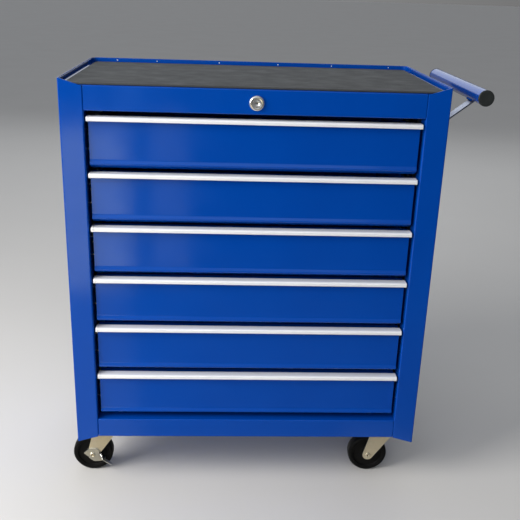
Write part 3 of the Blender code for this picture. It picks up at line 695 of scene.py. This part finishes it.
def add(name, mesh, look, body, at=(0, 0, 0), node=None, edge=0, angle=SHEET_ANGLE):
    """A piece at a place in the cabinet's coordinates that rides on a body and may replace a CAD node."""
    material, slot = look
    piece = linked(name, mesh)
    if not mesh.materials or mesh.materials[0] is None:
        mesh.materials.clear()
        mesh.materials.append(material)
    mesh.shade_smooth()
    piece.location = MIDDLE + Vector(at)
    if edge:
        bevel = piece.modifiers.new("softened_edges", "BEVEL")
        bevel.width = edge
        bevel.segments = EDGE_SEGMENTS
        bevel.limit_method = "ANGLE"
        bevel.angle_limit = radians(angle)
        normals = piece.modifiers.new("flat_faces", "WEIGHTED_NORMAL")
        normals.weight = FLAT_WEIGHT
    else:
        mesh.set_sharp_from_angle(angle=radians(SHARP))
    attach(piece, body)
    if node:
        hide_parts(node)


# Cabinet


def add_painted(node, mesh):
    """A painted sheet of the cabinet in place of a CAD node."""
    add(node + "_sheet", mesh, PAINT, "root", (0, 0, 0), node, EDGE)


def side_panel():
    """Front post, side wall and rear flange of the right side, folded from one sheet."""
    rear = DEPTH - SHEET - GAP
    corners = [(POST_INNER, POST_RETURN), (POST_INNER, 0), (HALF_WIDTH, 0)]
    corners += [(HALF_WIDTH, rear), (HALF_WIDTH - REAR_FLANGE, rear)]
    line = bent(corners, (INNER_BEND, FRONT_BEND, REAR_BEND), 10)
    inner_top = TRAY_LOW.z - 2 * GAP

    def across_post(point):
        if point.y > POST_RETURN + GAP:
            return 1
        return min(max((point.x - POST_INNER) / (HALF_WIDTH - POST_INNER - FRONT_BEND), 0), 1)

    def lower_end(point):
        if point.x < POST_INNER + INNER_BEND and INNER_BEND / 2 < point.y < POST_RETURN + GAP:
            return PAN_HIGH.z + GAP
        return RAIL_BOTTOM + (POST_TIP - RAIL_BOTTOM) * across_post(point)

    def upper_end(point):
        return inner_top + (TOP - inner_top) * across_post(point)

    return folded_sheet(line, SHEET, "Z", lower_end, upper_end)


def plan_outline(half, front, rear, rear_radius, steps=12):
    right = [(half, front), *arc((half - rear_radius, rear - rear_radius), rear_radius, 0, 90, steps)]
    return right + [(-x, y) for x, y in reversed(right)]


def tray_hollow(half, front, rear):
    """The space inside the tray's rim, with the floor's fillet drawn wider on the left."""
    form = bmesh.new()
    loops = []
    for i in range(FILLET_STEPS + 1):
        angle = pi / 2 * i / FILLET_STEPS
        sides = []
        for fillet in (RIGHT_FILLET, LEFT_FILLET):
            inset = SHEET + fillet * (1 - sin(angle))
            z = WORKTOP + fillet * (1 - cos(angle))
            outline = plan_outline(half - inset, front - OVER, rear - inset, REAR_BEND - inset)
            sides.append([(x, y, z) for x, y in outline])
        middle = len(sides[0]) // 2
        loops.append([form.verts.new(point) for point in sides[0][:middle] + sides[1][middle:]])
    loops.append([form.verts.new((v.co.x, v.co.y, TOP + OVER)) for v in loops[-1]])
    for one, two in zip(loops, loops[1:]):
        bridge(form, one, two)
    form.faces.new(loops[0])
    form.faces.new(loops[-1])
    return mesh_of(form)


def top_tray():
    half = TRAY_HIGH.x
    rear = TRAY_HIGH.y
    front = TRAY_LOW.y
    shell = prism(plan_outline(half, front, rear, REAR_BEND), TRAY_LOW.z, TRAY_HIGH.z, "Z")
    notch_half = POST_INNER + GAP
    notch = box((-notch_half, 0, TRAY_LOW.z - OVER), (notch_half, RAIL_SHELF + GAP, TOP + OVER))
    return cut(shell, tray_hollow(half, front, rear), notch)


def rail(shelf, top, bottom, foot):
    end = POST_INNER - GAP
    line = bent([(shelf, top), (0, top), (0, bottom), (foot, bottom)], (FRONT_BEND, FRONT_BEND), 8)
    return folded_sheet(line, SHEET, "X", -end, end)


def back_rivets(half):
    low = BACK_LOW + RIVET_INSET
    high = TOP - RIVET_INSET
    places = [
        (side * (half - RIVET_EDGE), low + (high - low) * i / (RIVET_ROWS - 1))
        for side in (-1, 1)
        for i in range(RIVET_ROWS)
    ]
    for i in range(1, RIVET_COLUMNS + 1):
        x = half * (2 * i / (RIVET_COLUMNS + 1) - 1)
        places += [(x, TOP - RIVET_TOP), (x, PAN_HIGH.z + 0.001)]
    rivet = dome(RIVET_RADIUS, RIVET_HEIGHT, DEPTH, "Y", 1)
    return merged(*[moved(rivet.copy(), (x, 0, z)) for x, z in places])


def build_cabinet():
    panel = side_panel()
    add_painted("side_panel_right", panel)
    add_painted("side_panel_left", mirrored(panel))
    half = HALF_WIDTH - REAR_BEND - GAP
    corners = rounded(rectangle(-half, BACK_LOW, half, TOP), (BACK_CORNER,) * 4)
    back = prism(corners, DEPTH - SHEET, DEPTH, "Y")
    add_painted("back_panel", back)
    add("back_panel_rivets", back_rivets(half), ZINC, "root")
    add_painted("top_tray", top_tray())
    mat = prism(plan_outline(MAT_HIGH.x, MAT_LOW.y, MAT_HIGH.y, MAT_CORNER), MAT_LOW.z, MAT_HIGH.z, "Z")
    add("worktop_mat_sheet", mat, RUBBER, "root", (0, 0, 0), "top_mat", MAT_EDGE)
    rivet = moved(dome(0.0010, 0.0004, 0, "Y", -1, 20), (0, TRAY_HIGH.y - SHEET, WORKTOP + RIM_RIVET_RISE))
    rim_rivets = [moved(rivet.copy(), (x, 0, 0)) for x in RIM_RIVETS]
    add("rim_rivets", merged(*rim_rivets), ALUMINIUM, "root")
    lock_hole = moved(bar(LOCK_HOLE, -OVER, OVER), (0, 0, LOCK_Z))
    upper = cut(rail(RAIL_SHELF, WORKTOP, UPPER_LOW.z, UPPER_HIGH.y), lock_hole)
    add_painted("top_rail", upper)
    lower = rail(LOWER_HIGH.y, LOWER_HIGH.z, RAIL_BOTTOM, RAIL_FOOT)
    add_painted("bottom_rail", lower)
    pan = prism(plan_outline(PAN_HIGH.x, PAN_LOW.y, PAN_HIGH.y, REAR_BEND), PAN_LOW.z, PAN_HIGH.z, "Z")
    add_painted("bottom_pan", pan)


def c_section(mouth, web, first, last, thickness, axis, low, high):
    """A C section with its web at one x and its mouth at another, its flanges first and last."""
    corners = [(mouth, first), (web, first), (web, last), (mouth, last)]
    return folded_sheet(bent(corners, CHANNEL_BENDS, 5), thickness, axis, low, high)


def slide_rack():
    uprights = []
    for front in UPRIGHT_FRONTS:
        span = (front + UPRIGHT_WIDTH, front, CHANNEL_SHEET, "Z", RACK_LOW.z, RACK_HIGH.z)
        uprights.append(c_section(RACK_HIGH.x, CHANNEL_OUTER + GAP, *span))
    channels = []
    balls = []
    for number in range(DRAWER_COUNT):
        z = MEMBER_Z - PITCH * number
        flanges = (z + CHANNEL_HEIGHT / 2, z - CHANNEL_HEIGHT / 2)
        span = (-CHANNEL_SHEET, "Y", RACK_LOW.y, CHANNEL_REAR)
        channels.append(c_section(CHANNEL_INNER, CHANNEL_OUTER, *flanges, *span))
        for front in UPRIGHT_FRONTS:
            head = dome(0.004, 0.0012, CHANNEL_OUTER - CHANNEL_SHEET, "X", -1)
            channels.append(moved(head, (0, front + UPRIGHT_WIDTH / 2, z)))
        for side in (-1, 1):
            balls += ball_row(z + side * (MEMBER_HALF + BALL_CLEAR))
    return merged(*uprights, *channels), merged(*balls)


def ball_row(z):
    """Bearing balls between the fixed and the moving channel."""
    x = (BOX_HALF + MEMBER_HIGH.x) / 2
    start = RACK_LOW.y + BALLS_START
    row = []
    for i in range(BALLS):
        form = bmesh.new()
        bmesh.ops.create_uvsphere(form, u_segments=14, v_segments=8, radius=BALL_RADIUS)
        row.append(moved(mesh_of(form), (x, start + BALL_SPACING * i, z)))
    return row


def build_racks():
    rack, balls = slide_rack()
    for side, mesh in (("right", rack), ("left", mirrored(rack))):
        node = f"slide_rack_{side}"
        add(node + "_detailed", mesh, STEEL, "root", (0, 0, 0), node, RACK_EDGE)
    add("slide_balls_right", balls, BALL_STEEL, "root")
    add("slide_balls_left", mirrored(balls), BALL_STEEL, "root")


# Drawers


def drawer_front():
    """Brim, face and rolled lower edge of a drawer, one folded sheet."""
    brim = PULL_HIGH.z - PULL_WALL - GAP
    swell = (FRONT_FACE, BOX_LOW.z + BEAD_TOP)
    peak = (FRONT_FACE - BEAD_SWELL, BOX_LOW.z + BEAD_PEAK)
    foot = (FRONT_FACE + SLOPE_DEPTH, BOX_LOW.z)
    corners = [(FRONT_BRIM, brim), (FRONT_FACE, brim), swell, peak, foot, (FRONT_TUCK, BOX_LOW.z)]
    line = bent(corners, (BRIM_BEND, BEAD_BEND, SLOPE_BEND, SLOPE_BEND), 8)
    return folded_sheet(line, SHEET, "X", -FRONT_HALF, FRONT_HALF)


def drawer_tray():
    """Floor and three walls with hemmed upper edges, and the catch tab behind."""
    floor = BOX_LOW.z + SHEET + GAP / 2
    wall_top = PULL_HIGH.z - WALL_TOP_DROP
    start = FRONT_FACE + SHEET + GAP / 2
    inside = BOX_HALF - SHEET
    shell = box((-BOX_HALF, start, floor), (BOX_HALF, BOX_REAR, wall_top))
    hollow = box((-inside, start + SHEET, floor + SHEET), (inside, BOX_REAR - SHEET, TOP))
    clear = BOX_LOW.z + TRAY_INSET
    slope = (FRONT_FACE + TRAY_INSET, clear + SLOPE_HEIGHT)
    foot = FRONT_FACE + SLOPE_DEPTH + TRAY_INSET
    below = floor - OVER
    corner = prism([(0, below), (foot, below), (foot, clear), slope, (0, slope[1])], -1, 1, "X")
    low = wall_top - HEM_HEIGHT
    thick = 2 * SHEET
    lap = SHEET / 2
    front = start + SHEET
    hems = [
        box((lap - BOX_HALF, front, low), (thick - BOX_HALF, BOX_REAR - SHEET, wall_top)),
        box((BOX_HALF - thick, front, low), (BOX_HALF - lap, BOX_REAR - SHEET, wall_top)),
        box((-inside, BOX_REAR - thick, low), (inside, BOX_REAR - lap, wall_top)),
    ]
    base = wall_top - TAB_DROP
    hook = [(BOX_REAR - lap, base), (BOX_REAR + TAB_REACH, base), (BOX_REAR + TAB_REACH, base + TAB_HALF)]
    tab = folded_sheet(hook, TAB_SHEET, "X", -TAB_HALF, TAB_HALF)
    unions = [("UNION", mesh) for mesh in (*hems, tab)]
    return cut_and_joined(shell, [("DIFFERENCE", corner), ("DIFFERENCE", hollow), *unions])


def pull_outline(grow=0.0, hollow=True):
    """Section of the pull: flat top, rounded nose, short front lip."""
    rear = PULL_HIGH.y + grow
    nose_y = PULL_LOW.y - grow
    top = PULL_HIGH.z + grow
    low = PULL_LOW.z - grow
    nose = PULL_NOSE_RADIUS + grow
    back = nose_y + PULL_LIP_DEPTH
    inner = nose - PULL_WALL
    under = top - PULL_WALL
    outline = arc((nose_y + nose, top - nose), nose, 90, 180, 12)
    outline += arc((nose_y + PULL_LIP, low + PULL_LIP), PULL_LIP, 180, 270, 5)
    if hollow:
        outline.append((back, low))
        outline += arc((back + inner, top - nose), inner, 180, 90, 8)
    else:
        outline += [(nose_y + PULL_CAP_DEPTH, low), (nose_y + PULL_CAP_DEPTH + 0.001, under)]
    return outline + [(rear, under), (rear, top)]


def build_drawers():
    front = drawer_front()
    tray = drawer_tray()
    bar_end = PULL_HIGH.x - PULL_CAP
    pull = prism(pull_outline(), -bar_end, bar_end, "X")
    cap = prism(pull_outline(PULL_CAP_OUT, False), bar_end + PULL_CAP_OUT, PULL_HIGH.x, "X")
    caps = merged(cap, mirrored(cap))
    span = (MEMBER_HIGH.z, MEMBER_LOW.z, CHANNEL_SHEET, "Y", MEMBER_LOW.y, MEMBER_HIGH.y)
    member = c_section(MEMBER_HIGH.x, MEMBER_LOW.x, *span)
    head = dome(0.0035, 0.0011, MEMBER_LOW.x + CHANNEL_SHEET, "X", 1)
    member_right = merged(member, *[moved(head.copy(), (0, y, MEMBER_Z)) for y in MEMBER_RIVETS])
    member_left = mirrored(member_right)
    for number in range(DRAWER_COUNT):
        name = f"drawer_{number + 1}"
        at = (0, 0, -PITCH * number)
        add(name + "_front", front, PAINT, name, at, name + "_box", EDGE)
        add(name + "_tray", tray, PAINT, name, at, None, FINE_EDGE)
        add(name + "_pull_extrusion", pull, ALUMINIUM, name, at, name + "_pull", PULL_EDGE, PULL_ANGLE)
        add(name + "_pull_caps", caps, ALUMINIUM, name, at, None, FINE_EDGE, PULL_ANGLE)
        for side, mesh in (("right", member_right), ("left", member_left)):
            add(f"{name}_member_{side}", mesh, STEEL, name, at, f"{name}_slide_{side}")


# Casters, round their own swivel axis


def caster_plate():
    thick = PLATE_HIGH.x - PLATE_LOW.x
    half = thick / 2
    top = PLATE_HIGH.z
    low = top - 0.0025
    plate = prism(rounded(rectangle(-half, -half, half, half), (0.006,) * 4), low, top, "Z")
    cup_low = low - 0.005
    cup = [(0, low + 0.0002), (CUP_RADIUS + 0.0015, low + 0.0002), (CUP_RADIUS + 0.001, low - 0.0006)]
    cup += [(CUP_RADIUS, low - 0.002), (CUP_RADIUS, cup_low + 0.0012)]
    cup += [(CUP_RADIUS - 0.0012, cup_low), (0, cup_low)]
    head_top = FORK_TOP - FORK_SHEET - GAP
    pin = [(0, cup_low + 0.0002), (0.004, cup_low + 0.0002), (0.004, head_top), (0.007, head_top)]
    pin += [*arc((0.0055, head_top - 0.0015), 0.0015, 0, -90, 5), (0, head_top - 0.003)]
    body = cut_and_joined(plate, [("UNION", turned(cup, "Z")), ("UNION", turned(pin, "Z", 32))])
    heads = []
    for x in (-BOLT_PLACE, BOLT_PLACE):
        for y in (-BOLT_PLACE, BOLT_PLACE):
            washer = bar(WASHER_RADIUS, low - 0.0001, low - 0.0009, "Z", 32)
            head = hex_head(BOLT_RADIUS, 0.0028, low - 0.001, "Z", -1)
            nut = hex_head(BOLT_RADIUS, 0.0034, PAN_HIGH.z + 0.0001, "Z", 1)
            heads += [moved(mesh, (x, y, 0)) for mesh in (washer, head, nut)]
    return body, merged(*heads)


def leg_start(side, turn):
    """Where a leg's straight edge leaves its round end."""
    return -TRAIL + side * LEG_END_RADIUS * cos(turn), AXLE_Z + LEG_END_RADIUS * sin(turn)


def fork():
    """Pressed fork: a crown with two legs bent down from it, each narrowing to a round end."""
    top = FORK_TOP
    outer = LEG_INNER + FORK_SHEET
    end_low = AXLE_Z - LEG_END_RADIUS
    shoulder = top - FORK_SHEET - 0.002
    leads = leg_start(1, LEG_LEADING_TURN)
    trails = leg_start(-1, LEG_TRAILING_TURN)

    def edge(side, start, end):
        """How far a leg reaches at each height: round its end, then straight up to the crown."""

        def reach(point):
            if point.y <= start[1]:
                return -TRAIL + side * sqrt(max(LEG_END_RADIUS**2 - (point.y - AXLE_Z) ** 2, 0))
            share = min(max((point.y - start[1]) / (shoulder - start[1]), 0), 1)
            return start[0] + (end - start[0]) * share

        return reach

    bend_low = shoulder - 0.004
    curve = [1 - cos(pi / 2 * i / LEG_STEPS) for i in range(LEG_STEPS + 1)]
    leg = [end_low + 0.00005 + (trails[1] - end_low) * share for share in curve]
    leg += [trails[1] + (bend_low - trails[1]) * i / 6 for i in range(1, 6)]
    bend = bent([(-outer, bend_low), (-outer, top), (0, top)], (0.0042,), 8)[1:]
    half = [Vector((-outer, z)) for z in leg] + bend
    line = half + [Vector((-p.x, p.y)) for p in reversed(half[:-1])]
    reaches = (edge(-1, trails, LEG_TRAILING), edge(1, leads, LEG_LEADING))
    body = folded_sheet(line, -FORK_SHEET, "X", *reaches)
    low = top - FORK_SHEET
    crown = [(0, top), (0.0195, top), (0.0215, top - 0.0012)]
    crown += [(0.0215, low + 0.0008), (0.0207, low), (0, low)]
    steps = [
        ("UNION", turned(crown, "Z")),
        ("DIFFERENCE", moved(bar(AXLE_RADIUS, -0.04, 0.04, "Y", 32), (-TRAIL, 0, AXLE_Z))),
        ("DIFFERENCE", bar(AXLE_RADIUS, 0, 1, "Z", 32)),
    ]
    return cut_and_joined(body, steps)


def wheel():
    """Solid moulded wheel: crowned tread, raised shoulder ring, dished web and hub, about its axle."""
    radius = (WHEEL_HIGH.z - WHEEL_LOW.z) / 2
    hub = (WHEEL_HIGH.y - WHEEL_LOW.y) / 2
    half = WHEEL_HALF
    side = [(AXLE_RADIUS, hub - 0.0006), (0.0049, hub), (0.0082, hub), (0.0092, hub - 0.0008)]
    side += [(0.0108, 0.0082), *arc((0.0140, 0.0084), 0.0016, 200, 270, 4)]
    side += [(0.0245, 0.0070), *arc((0.0262, 0.0088), 0.0016, 270, 340, 4)]
    side += [(0.0284, half - 0.0006), (0.0290, half - 0.0002), (0.0300, half - 0.0002)]
    side += [(0.0304, half - 0.0009), (0.0309, half - 0.0009), (0.0313, half)]
    side += arc((radius - 0.0042, half - 0.0040), 0.0040, 85, 20, 7)
    side += [(radius - 0.0001, 0.0045), (radius, 0.0022)]
    profile = side + [(r, -y) for r, y in reversed(side)]
    return turned(profile, "Y", 96)


def axle(front_reach):
    """Hollow rivet head at the front, hexagon nut on a washer at the back."""
    back = LEG_INNER + FORK_SHEET + GAP / 3
    front = -front_reach + GAP * 2 / 3
    end = back + 0.005
    profile = [(0, front + 0.005), (0.0017, front + 0.0045), (0.0020, front - 0.0016)]
    profile += [(0.0026, front - 0.0022), *arc((0.0030, front - 0.0002), 0.0021, -80, 0, 6)]
    profile += [(0.0051, front), (0.004, front + 0.0001), (0.004, end - 0.0005), (0.0034, end), (0, end)]
    washer = rectangle(0.0041, back, 0.0068, back + 0.0009)
    nut = cut(hex_head(0.0049, 0.0028, back + 0.001, "Y", 1), bar(0.0041, 0, 1, "Y", 24))
    return merged(turned(profile, "Y", 40), turned(washer, "Y", 40), nut)


def pedal():
    """Stamped rocker plate with a foot pad turned outwards along each end."""
    plane = -(LEG_INNER + FORK_SHEET + GAP)
    release = bent([(-0.0236, 0.0129), (-0.0165, 0.0018), (-0.0072, -0.0061)], (0.012,), 8)
    brake = bent([(0.0358, -0.0190), (0.0205, -0.0072), (0.0136, 0.0068)], (0.014,), 8)
    belly = bent([release[-1], (0.002, -0.0140), (0.0225, -0.0130), brake[1]], (0.009, 0.012), 6)
    crest = bent([brake[-1], (0.0085, 0.0135), (-0.0050, 0.0132), (-0.0143, 0.0053)], (0.007, 0.009), 6)
    outline = [tuple(p) for p in release[4:-1]] + [tuple(p) for p in belly[:-1]]
    outline += [tuple(p) for p in brake[1:-1]] + [tuple(p) for p in crest]
    plate = prism(outline, plane - PEDAL_SHEET, plane, "Y")
    out = plane - PEDAL_SHEET - PAD_DEPTH
    steps = []
    for line in (release, brake):
        length = len(line) - 1

        def reach(point, line=line, length=length):
            place = min(range(length + 1), key=lambda i: (line[i] - point).length) / length
            tip = min(place / 0.35, 1)
            root = min((1 - place) / 0.25, 1)
            return out + PAD_DEPTH * (0.30 * (1 - tip) ** 2 + (1 - root) ** 2)

        steps.append(("UNION", folded_sheet(line, PAD_SHEET, "Y", reach, plane - 0.0001)))
    steps.append(("DIFFERENCE", bar(AXLE_RADIUS, 2 * plane, 0, "Y", 32)))
    return cut_and_joined(plate, steps)


def build_casters():
    plate, bolts = caster_plate()
    fork_mesh = fork()
    wheel_mesh = wheel()
    reach = LEG_INNER + FORK_SHEET + GAP
    plain_axle = axle(reach)
    braked_axle = axle(reach + PEDAL_SHEET + GAP)
    pedal_mesh = pedal()
    for end, y in (("front", SWIVEL_Y), ("rear", DEPTH - SWIVEL_Y)):
        for side, x in (("left", -SWIVEL_X), ("right", SWIVEL_X)):
            name = f"caster_{end}_{side}"
            at = (x, y, 0)
            hub = (x - TRAIL, y, AXLE_Z)
            turning = name + "_swivel"
            add(name + "_plate_pressed", plate, ZINC, "root", at, name + "_plate", FINE_EDGE)
            add(name + "_bolts", bolts, ZINC, "root", at)
            add(name + "_fork_pressed", fork_mesh, ZINC, turning, at, name + "_fork", THICK_EDGE)
            add(name + "_wheel_moulded", wheel_mesh, TYRE, name + "_wheel", hub, name + "_wheel")
            axle_mesh = braked_axle if side == "left" else plain_axle
            add(name + "_axle_rivet", axle_mesh, ZINC, turning, hub, name + "_axle")
            if side == "left":
                brake = name + "_brake"
                add(brake + "_pedal", pedal_mesh, PEDAL_ZINC, brake, hub, brake, FINE_EDGE)


# Handle


def strap():
    """Bent strap: a rounded foot on the side panel and a slanting arm up to the tube's underside."""
    panel = HALF_WIDTH + GAP + STRAP_SHEET
    half = (STRAP_HIGH.y - STRAP_LOW.y) / 2
    knee = TOP - STRAP_KNEE_DROP
    foot = STRAP_LOW.z
    reach = TUBE_X - panel
    tip = (TUBE_X, knee + reach * tan(STRAP_SLOPE))
    start = [(panel, foot + 0.00005 + STRAP_CORNER * (1 - cos(pi / 2 * i / 8))) for i in range(8)]
    rest = bent([(panel, foot + STRAP_CORNER), (panel, knee), tip], (0.005,), 10)
    line = [Vector(p) for p in start] + rest

    def width(point):
        below = max(foot + STRAP_CORNER - point.y, 0)
        return half - STRAP_CORNER + sqrt(max(STRAP_CORNER**2 - below**2, 0))

    sheet = folded_sheet(line, STRAP_SHEET, "Y", lambda p: -width(p), width)
    tube = moved(bar(TUBE_RADIUS + GAP / 2, -0.05, 0.05, "Y", 64), (TUBE_X, 0, TUBE_Z))
    beyond = box((TUBE_X - GAP, -0.05, knee), (TUBE_X + 0.05, 0.05, TOP + 0.05))
    body = cut(sheet, tube, beyond)
    screws = []
    for z in (foot + 0.008, knee - 0.011):
        screws.append(moved(bar(0.0048, 0, 0.0007, "X", 32), (panel + 0.0001, 0, z)))
        slots = ((0.0006, 0.0026), (0.0026, 0.0006))
        cross = [box((0.001, -wide, -high), (0.01, wide, high)) for wide, high in slots]
        head = cut(dome(0.0039, 0.0022, 0, "X", 1, 32), *cross)
        screws.append(moved(head, (panel + 0.0009, 0, z)))
    bead_x = TUBE_X + (TUBE_RADIUS + 0.0002) * cos(BEAD_ANGLE)
    bead_z = TUBE_Z + (TUBE_RADIUS + 0.0002) * sin(BEAD_ANGLE)
    profile = [(0, -half + 0.0005)]
    for i in range(2 * BEAD_RIPPLES + 1):
        along = -half + 0.001 + (2 * half - 0.002) * i / (2 * BEAD_RIPPLES)
        profile.append((0.0018 + (0.0002 if i % 2 else 0), along))
    profile.append((0, half - 0.0005))
    bead = moved(turned(profile, "Y", 16), (bead_x, 0, bead_z))
    return body, merged(*screws), bead


def build_handle():
    inner = TUBE_RADIUS - TUBE_WALL
    low = TUBE_LOW.y
    high = TUBE_HIGH.y
    at = (TUBE_X, 0, TUBE_Z)
    soft = low + TUBE_EDGE
    profile = [(inner, soft), (inner + TUBE_EDGE, low), (TUBE_RADIUS - TUBE_EDGE, low), (TUBE_RADIUS, soft)]
    profile += [(r, low + high - y) for r, y in reversed(profile)]
    add("handle_tube_bar", turned(profile, "Y", 96), PAINT, "root", at, "handle_tube")
    cap_radius = (CAP_HIGH.x - CAP_LOW.x) / 2
    flange = low - CAP_LOW.y
    plug = inner - GAP
    cap = [(0, -flange + 0.0003), (cap_radius * 0.62, -flange + 0.0001)]
    cap += arc((cap_radius - 0.0014, -flange + 0.0014), 0.0014, -90, 0, 6)
    cap += [(cap_radius, -GAP - 0.0003), (cap_radius - 0.0003, -GAP), (plug, -GAP)]
    for i in range(3):
        rib = 0.003 + 0.0035 * i
        cap += [(plug, rib), (plug + 0.00015, rib + 0.0006), (plug - 0.0004, rib + 0.0014)]
    cap += [(plug - 0.0006, CAP_HIGH.y - low), (0, CAP_HIGH.y - low)]
    cap_mesh = turned(cap, "Y", 64)
    for end, y, mesh in (("front", low, cap_mesh), ("rear", high, mirrored(cap_mesh, 1))):
        node = f"handle_cap_{end}"
        add(node + "_moulded", mesh, PLASTIC, "root", (TUBE_X, y, TUBE_Z), node)
    body, screws, bead = strap()
    inset = (STRAP_LOW.y + STRAP_HIGH.y) / 2
    for end, y in (("front", inset), ("rear", DEPTH - inset)):
        node = f"handle_bracket_{end}"
        at = (0, y, 0)
        add(node + "_strap", body, STRAP_ZINC, "root", at, node, THICK_EDGE)
        add(node + "_screws", screws, ZINC, "root", at)
        add(node + "_weld", bead, PAINT, "root", at)


# Lock


def build_lock():
    bezel = (LOCK_HIGH.z - LOCK_LOW.z) / 2
    face = LOCK_LOW.y
    bore = 0.0073
    ring = 0.012
    rim = 0.0030
    profile = [(bore, face + 0.0012), (bore + 0.0003, face + 0.0003), (bore + 0.0008, face + 0.0001)]
    profile += [(ring - rim - 0.0004, face + 0.0001), (ring - rim, face)]
    profile += [*arc((ring - rim, face + rim), rim, -82, 0, 9), (ring, -GAP), (0.0092, -GAP)]
    for i in range(9):
        y = 0.0006 + 0.002 * i
        profile += [(0.0092, y), (0.0086, y + 0.001)]
    profile += [(0.0086, 0.020), (bore, 0.020)]
    housing = turned(profile, "Y", 72)
    nut = cut(hex_head(bezel, 0.004, SHEET + GAP, "Y", 1), bar(0.0094, -1, 1, "Y", 40))
    at = (0, 0, LOCK_Z)
    add("lock_housing_turned", housing, CHROME, "root", at, "lock_housing")
    add("lock_nut", nut, ZINC, "root", at)
    core_low, core_high = extent("lock_core")
    front = core_low.y
    rear = core_high.y
    shaft_end = rear - 0.0045
    core = [(0, front + 0.0016), (0.0028, front + 0.0016), (0.0031, front + 0.0015)]
    core += [(0.0045, front + 0.0002), (0.0048, front), (0.0060, front)]
    core += [(0.0062, front + 0.0003), (0.0065, front + 0.0003)]
    core += [(0.0067, front), (0.0068, front), (0.0070, front + 0.0002), (0.0070, 0.023), (0.003, 0.023)]
    core += [(0.003, shaft_end), (0, shaft_end)]
    arm = 0.007
    half = 0.0035
    outline = arc((0, 0), half, 90, 270, 10) + arc((arm, 0), half, -90, 90, 10)
    crank_front = shaft_end - 0.0015
    lever = moved(prism(outline, crank_front, crank_front + 0.003, "Y"), turn=(-pi / 4, 4, "Y"))
    side = arm * cos(pi / 4)
    pin = moved(bar(0.002, crank_front + 0.0015, rear, "Y", 24), (side, 0, side))
    slot = box((-0.0024, front - 0.001, -0.0007), (0.0024, front + 0.0040, 0.0007))
    steps = [("UNION", lever), ("UNION", pin), ("DIFFERENCE", slot)]
    core_mesh = cut_and_joined(turned(core, "Y", 72), steps)
    add("lock_core_turned", core_mesh, CHROME, "lock_core", at, "lock_core")
    shadow = box((-0.0023, front + 0.0024, -0.0006), (0.0023, front + 0.0038, 0.0006))
    add("lock_keyway_shadow", shadow, KEYWAY, "lock_core", at)
    bar_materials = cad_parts["lock_bar"].data.materials
    bar_materials.clear()
    bar_materials.append(ZINC[0])


# Stage


def build_stage():
    """Pale floor and soft light, mostly from the left, with a wide white panel behind."""
    form = bmesh.new()
    bmesh.ops.create_grid(form, x_segments=1, y_segments=1, size=40)
    floor = linked("stage_floor", mesh_of(form))
    look = Wiring("stage_floor", IOR=1.3)
    colour = look.mix((2, 3), (0.62, 0.60, 0.575), (0.66, 0.64, 0.615))
    floor.data.materials.append(look.finish(colour, ((3, 2), 0.55, 0.65)))
    floor.visible_glossy = False
    for name, place, sides, power, colour, reflected in LIGHTS:
        lamp = add_light(name, place, sides, power, colour)
        lamp.visible_glossy = reflected
        lamp.visible_camera = reflected
    for number, (x, z, width, height, power, colour) in enumerate(REFLECTED_PATCHES):
        patch = add_light(f"patch_{number}", (x, PATCH_Y, z), (width, height), power, colour)
        patch.visible_diffuse = False
        patch.visible_camera = False
    build_world()


def build_world():
    """Soft white all round, except that the front is dark below the horizon, down to a warm floor."""
    world = bpy.data.worlds.new("studio")
    bpy.context.scene.world = world
    world.use_nodes = True
    tree = world.node_tree
    background = tree.nodes["Background"]
    place = tree.nodes.new("ShaderNodeTexCoord")
    split = tree.nodes.new("ShaderNodeSeparateXYZ")
    tree.links.new(place.outputs["Generated"], split.inputs[0])
    skies = [sky_ramp(tree, split.outputs["Z"], levels) for levels in (FRONT_SKY, SIDE_SKY)]
    turn = map_range(tree, split.outputs["Y"], *FRONT_ENDS)
    tree.links.new(mix_colours(tree, turn, *skies), background.inputs["Color"])
    fade = map_range(tree, split.outputs["X"], *FADE_ACROSS)
    tree.links.new(fade, background.inputs["Strength"])


def sky_ramp(tree, height, levels):
    ramp = tree.nodes.new("ShaderNodeValToRGB")
    tree.links.new(map_range(tree, height, -1, 1), ramp.inputs["Fac"])
    stops = ramp.color_ramp.elements
    while len(stops) < len(levels):
        stops.new(1.0)
    for stop, (place, colour) in zip(stops, levels):
        stop.position = place
        stop.color = (*colour, 1)
    return ramp.outputs["Color"]


def add_light(name, place, sides, power, colour):
    light = bpy.data.lights.new(name, "AREA")
    light.shape = "RECTANGLE"
    light.size, light.size_y = sides
    light.energy = power
    light.color = colour
    lamp = linked(name, light)
    lamp.location = place
    lamp.rotation_euler = (LIGHT_TARGET - Vector(place)).to_track_quat("-Z", "Y").to_euler()
    return lamp


def build_camera():
    data = bpy.data.cameras.new("camera")
    data.lens = CAMERA_LENS
    camera = linked("camera", data)
    turn = Matrix.Rotation(-CAMERA_YAW, 4, "Z") @ Matrix.Rotation(pi / 2 + CAMERA_PITCH, 4, "X")
    camera.matrix_world = Matrix.Translation(CAMERA_PLACE) @ turn @ Matrix.Rotation(CAMERA_ROLL, 4, "Z")
    bpy.context.scene.camera = camera


build_cabinet()
build_racks()
build_drawers()
build_casters()
build_handle()
build_lock()
build_stage()
build_camera()
bpy.context.scene.view_settings.view_transform = "Standard"
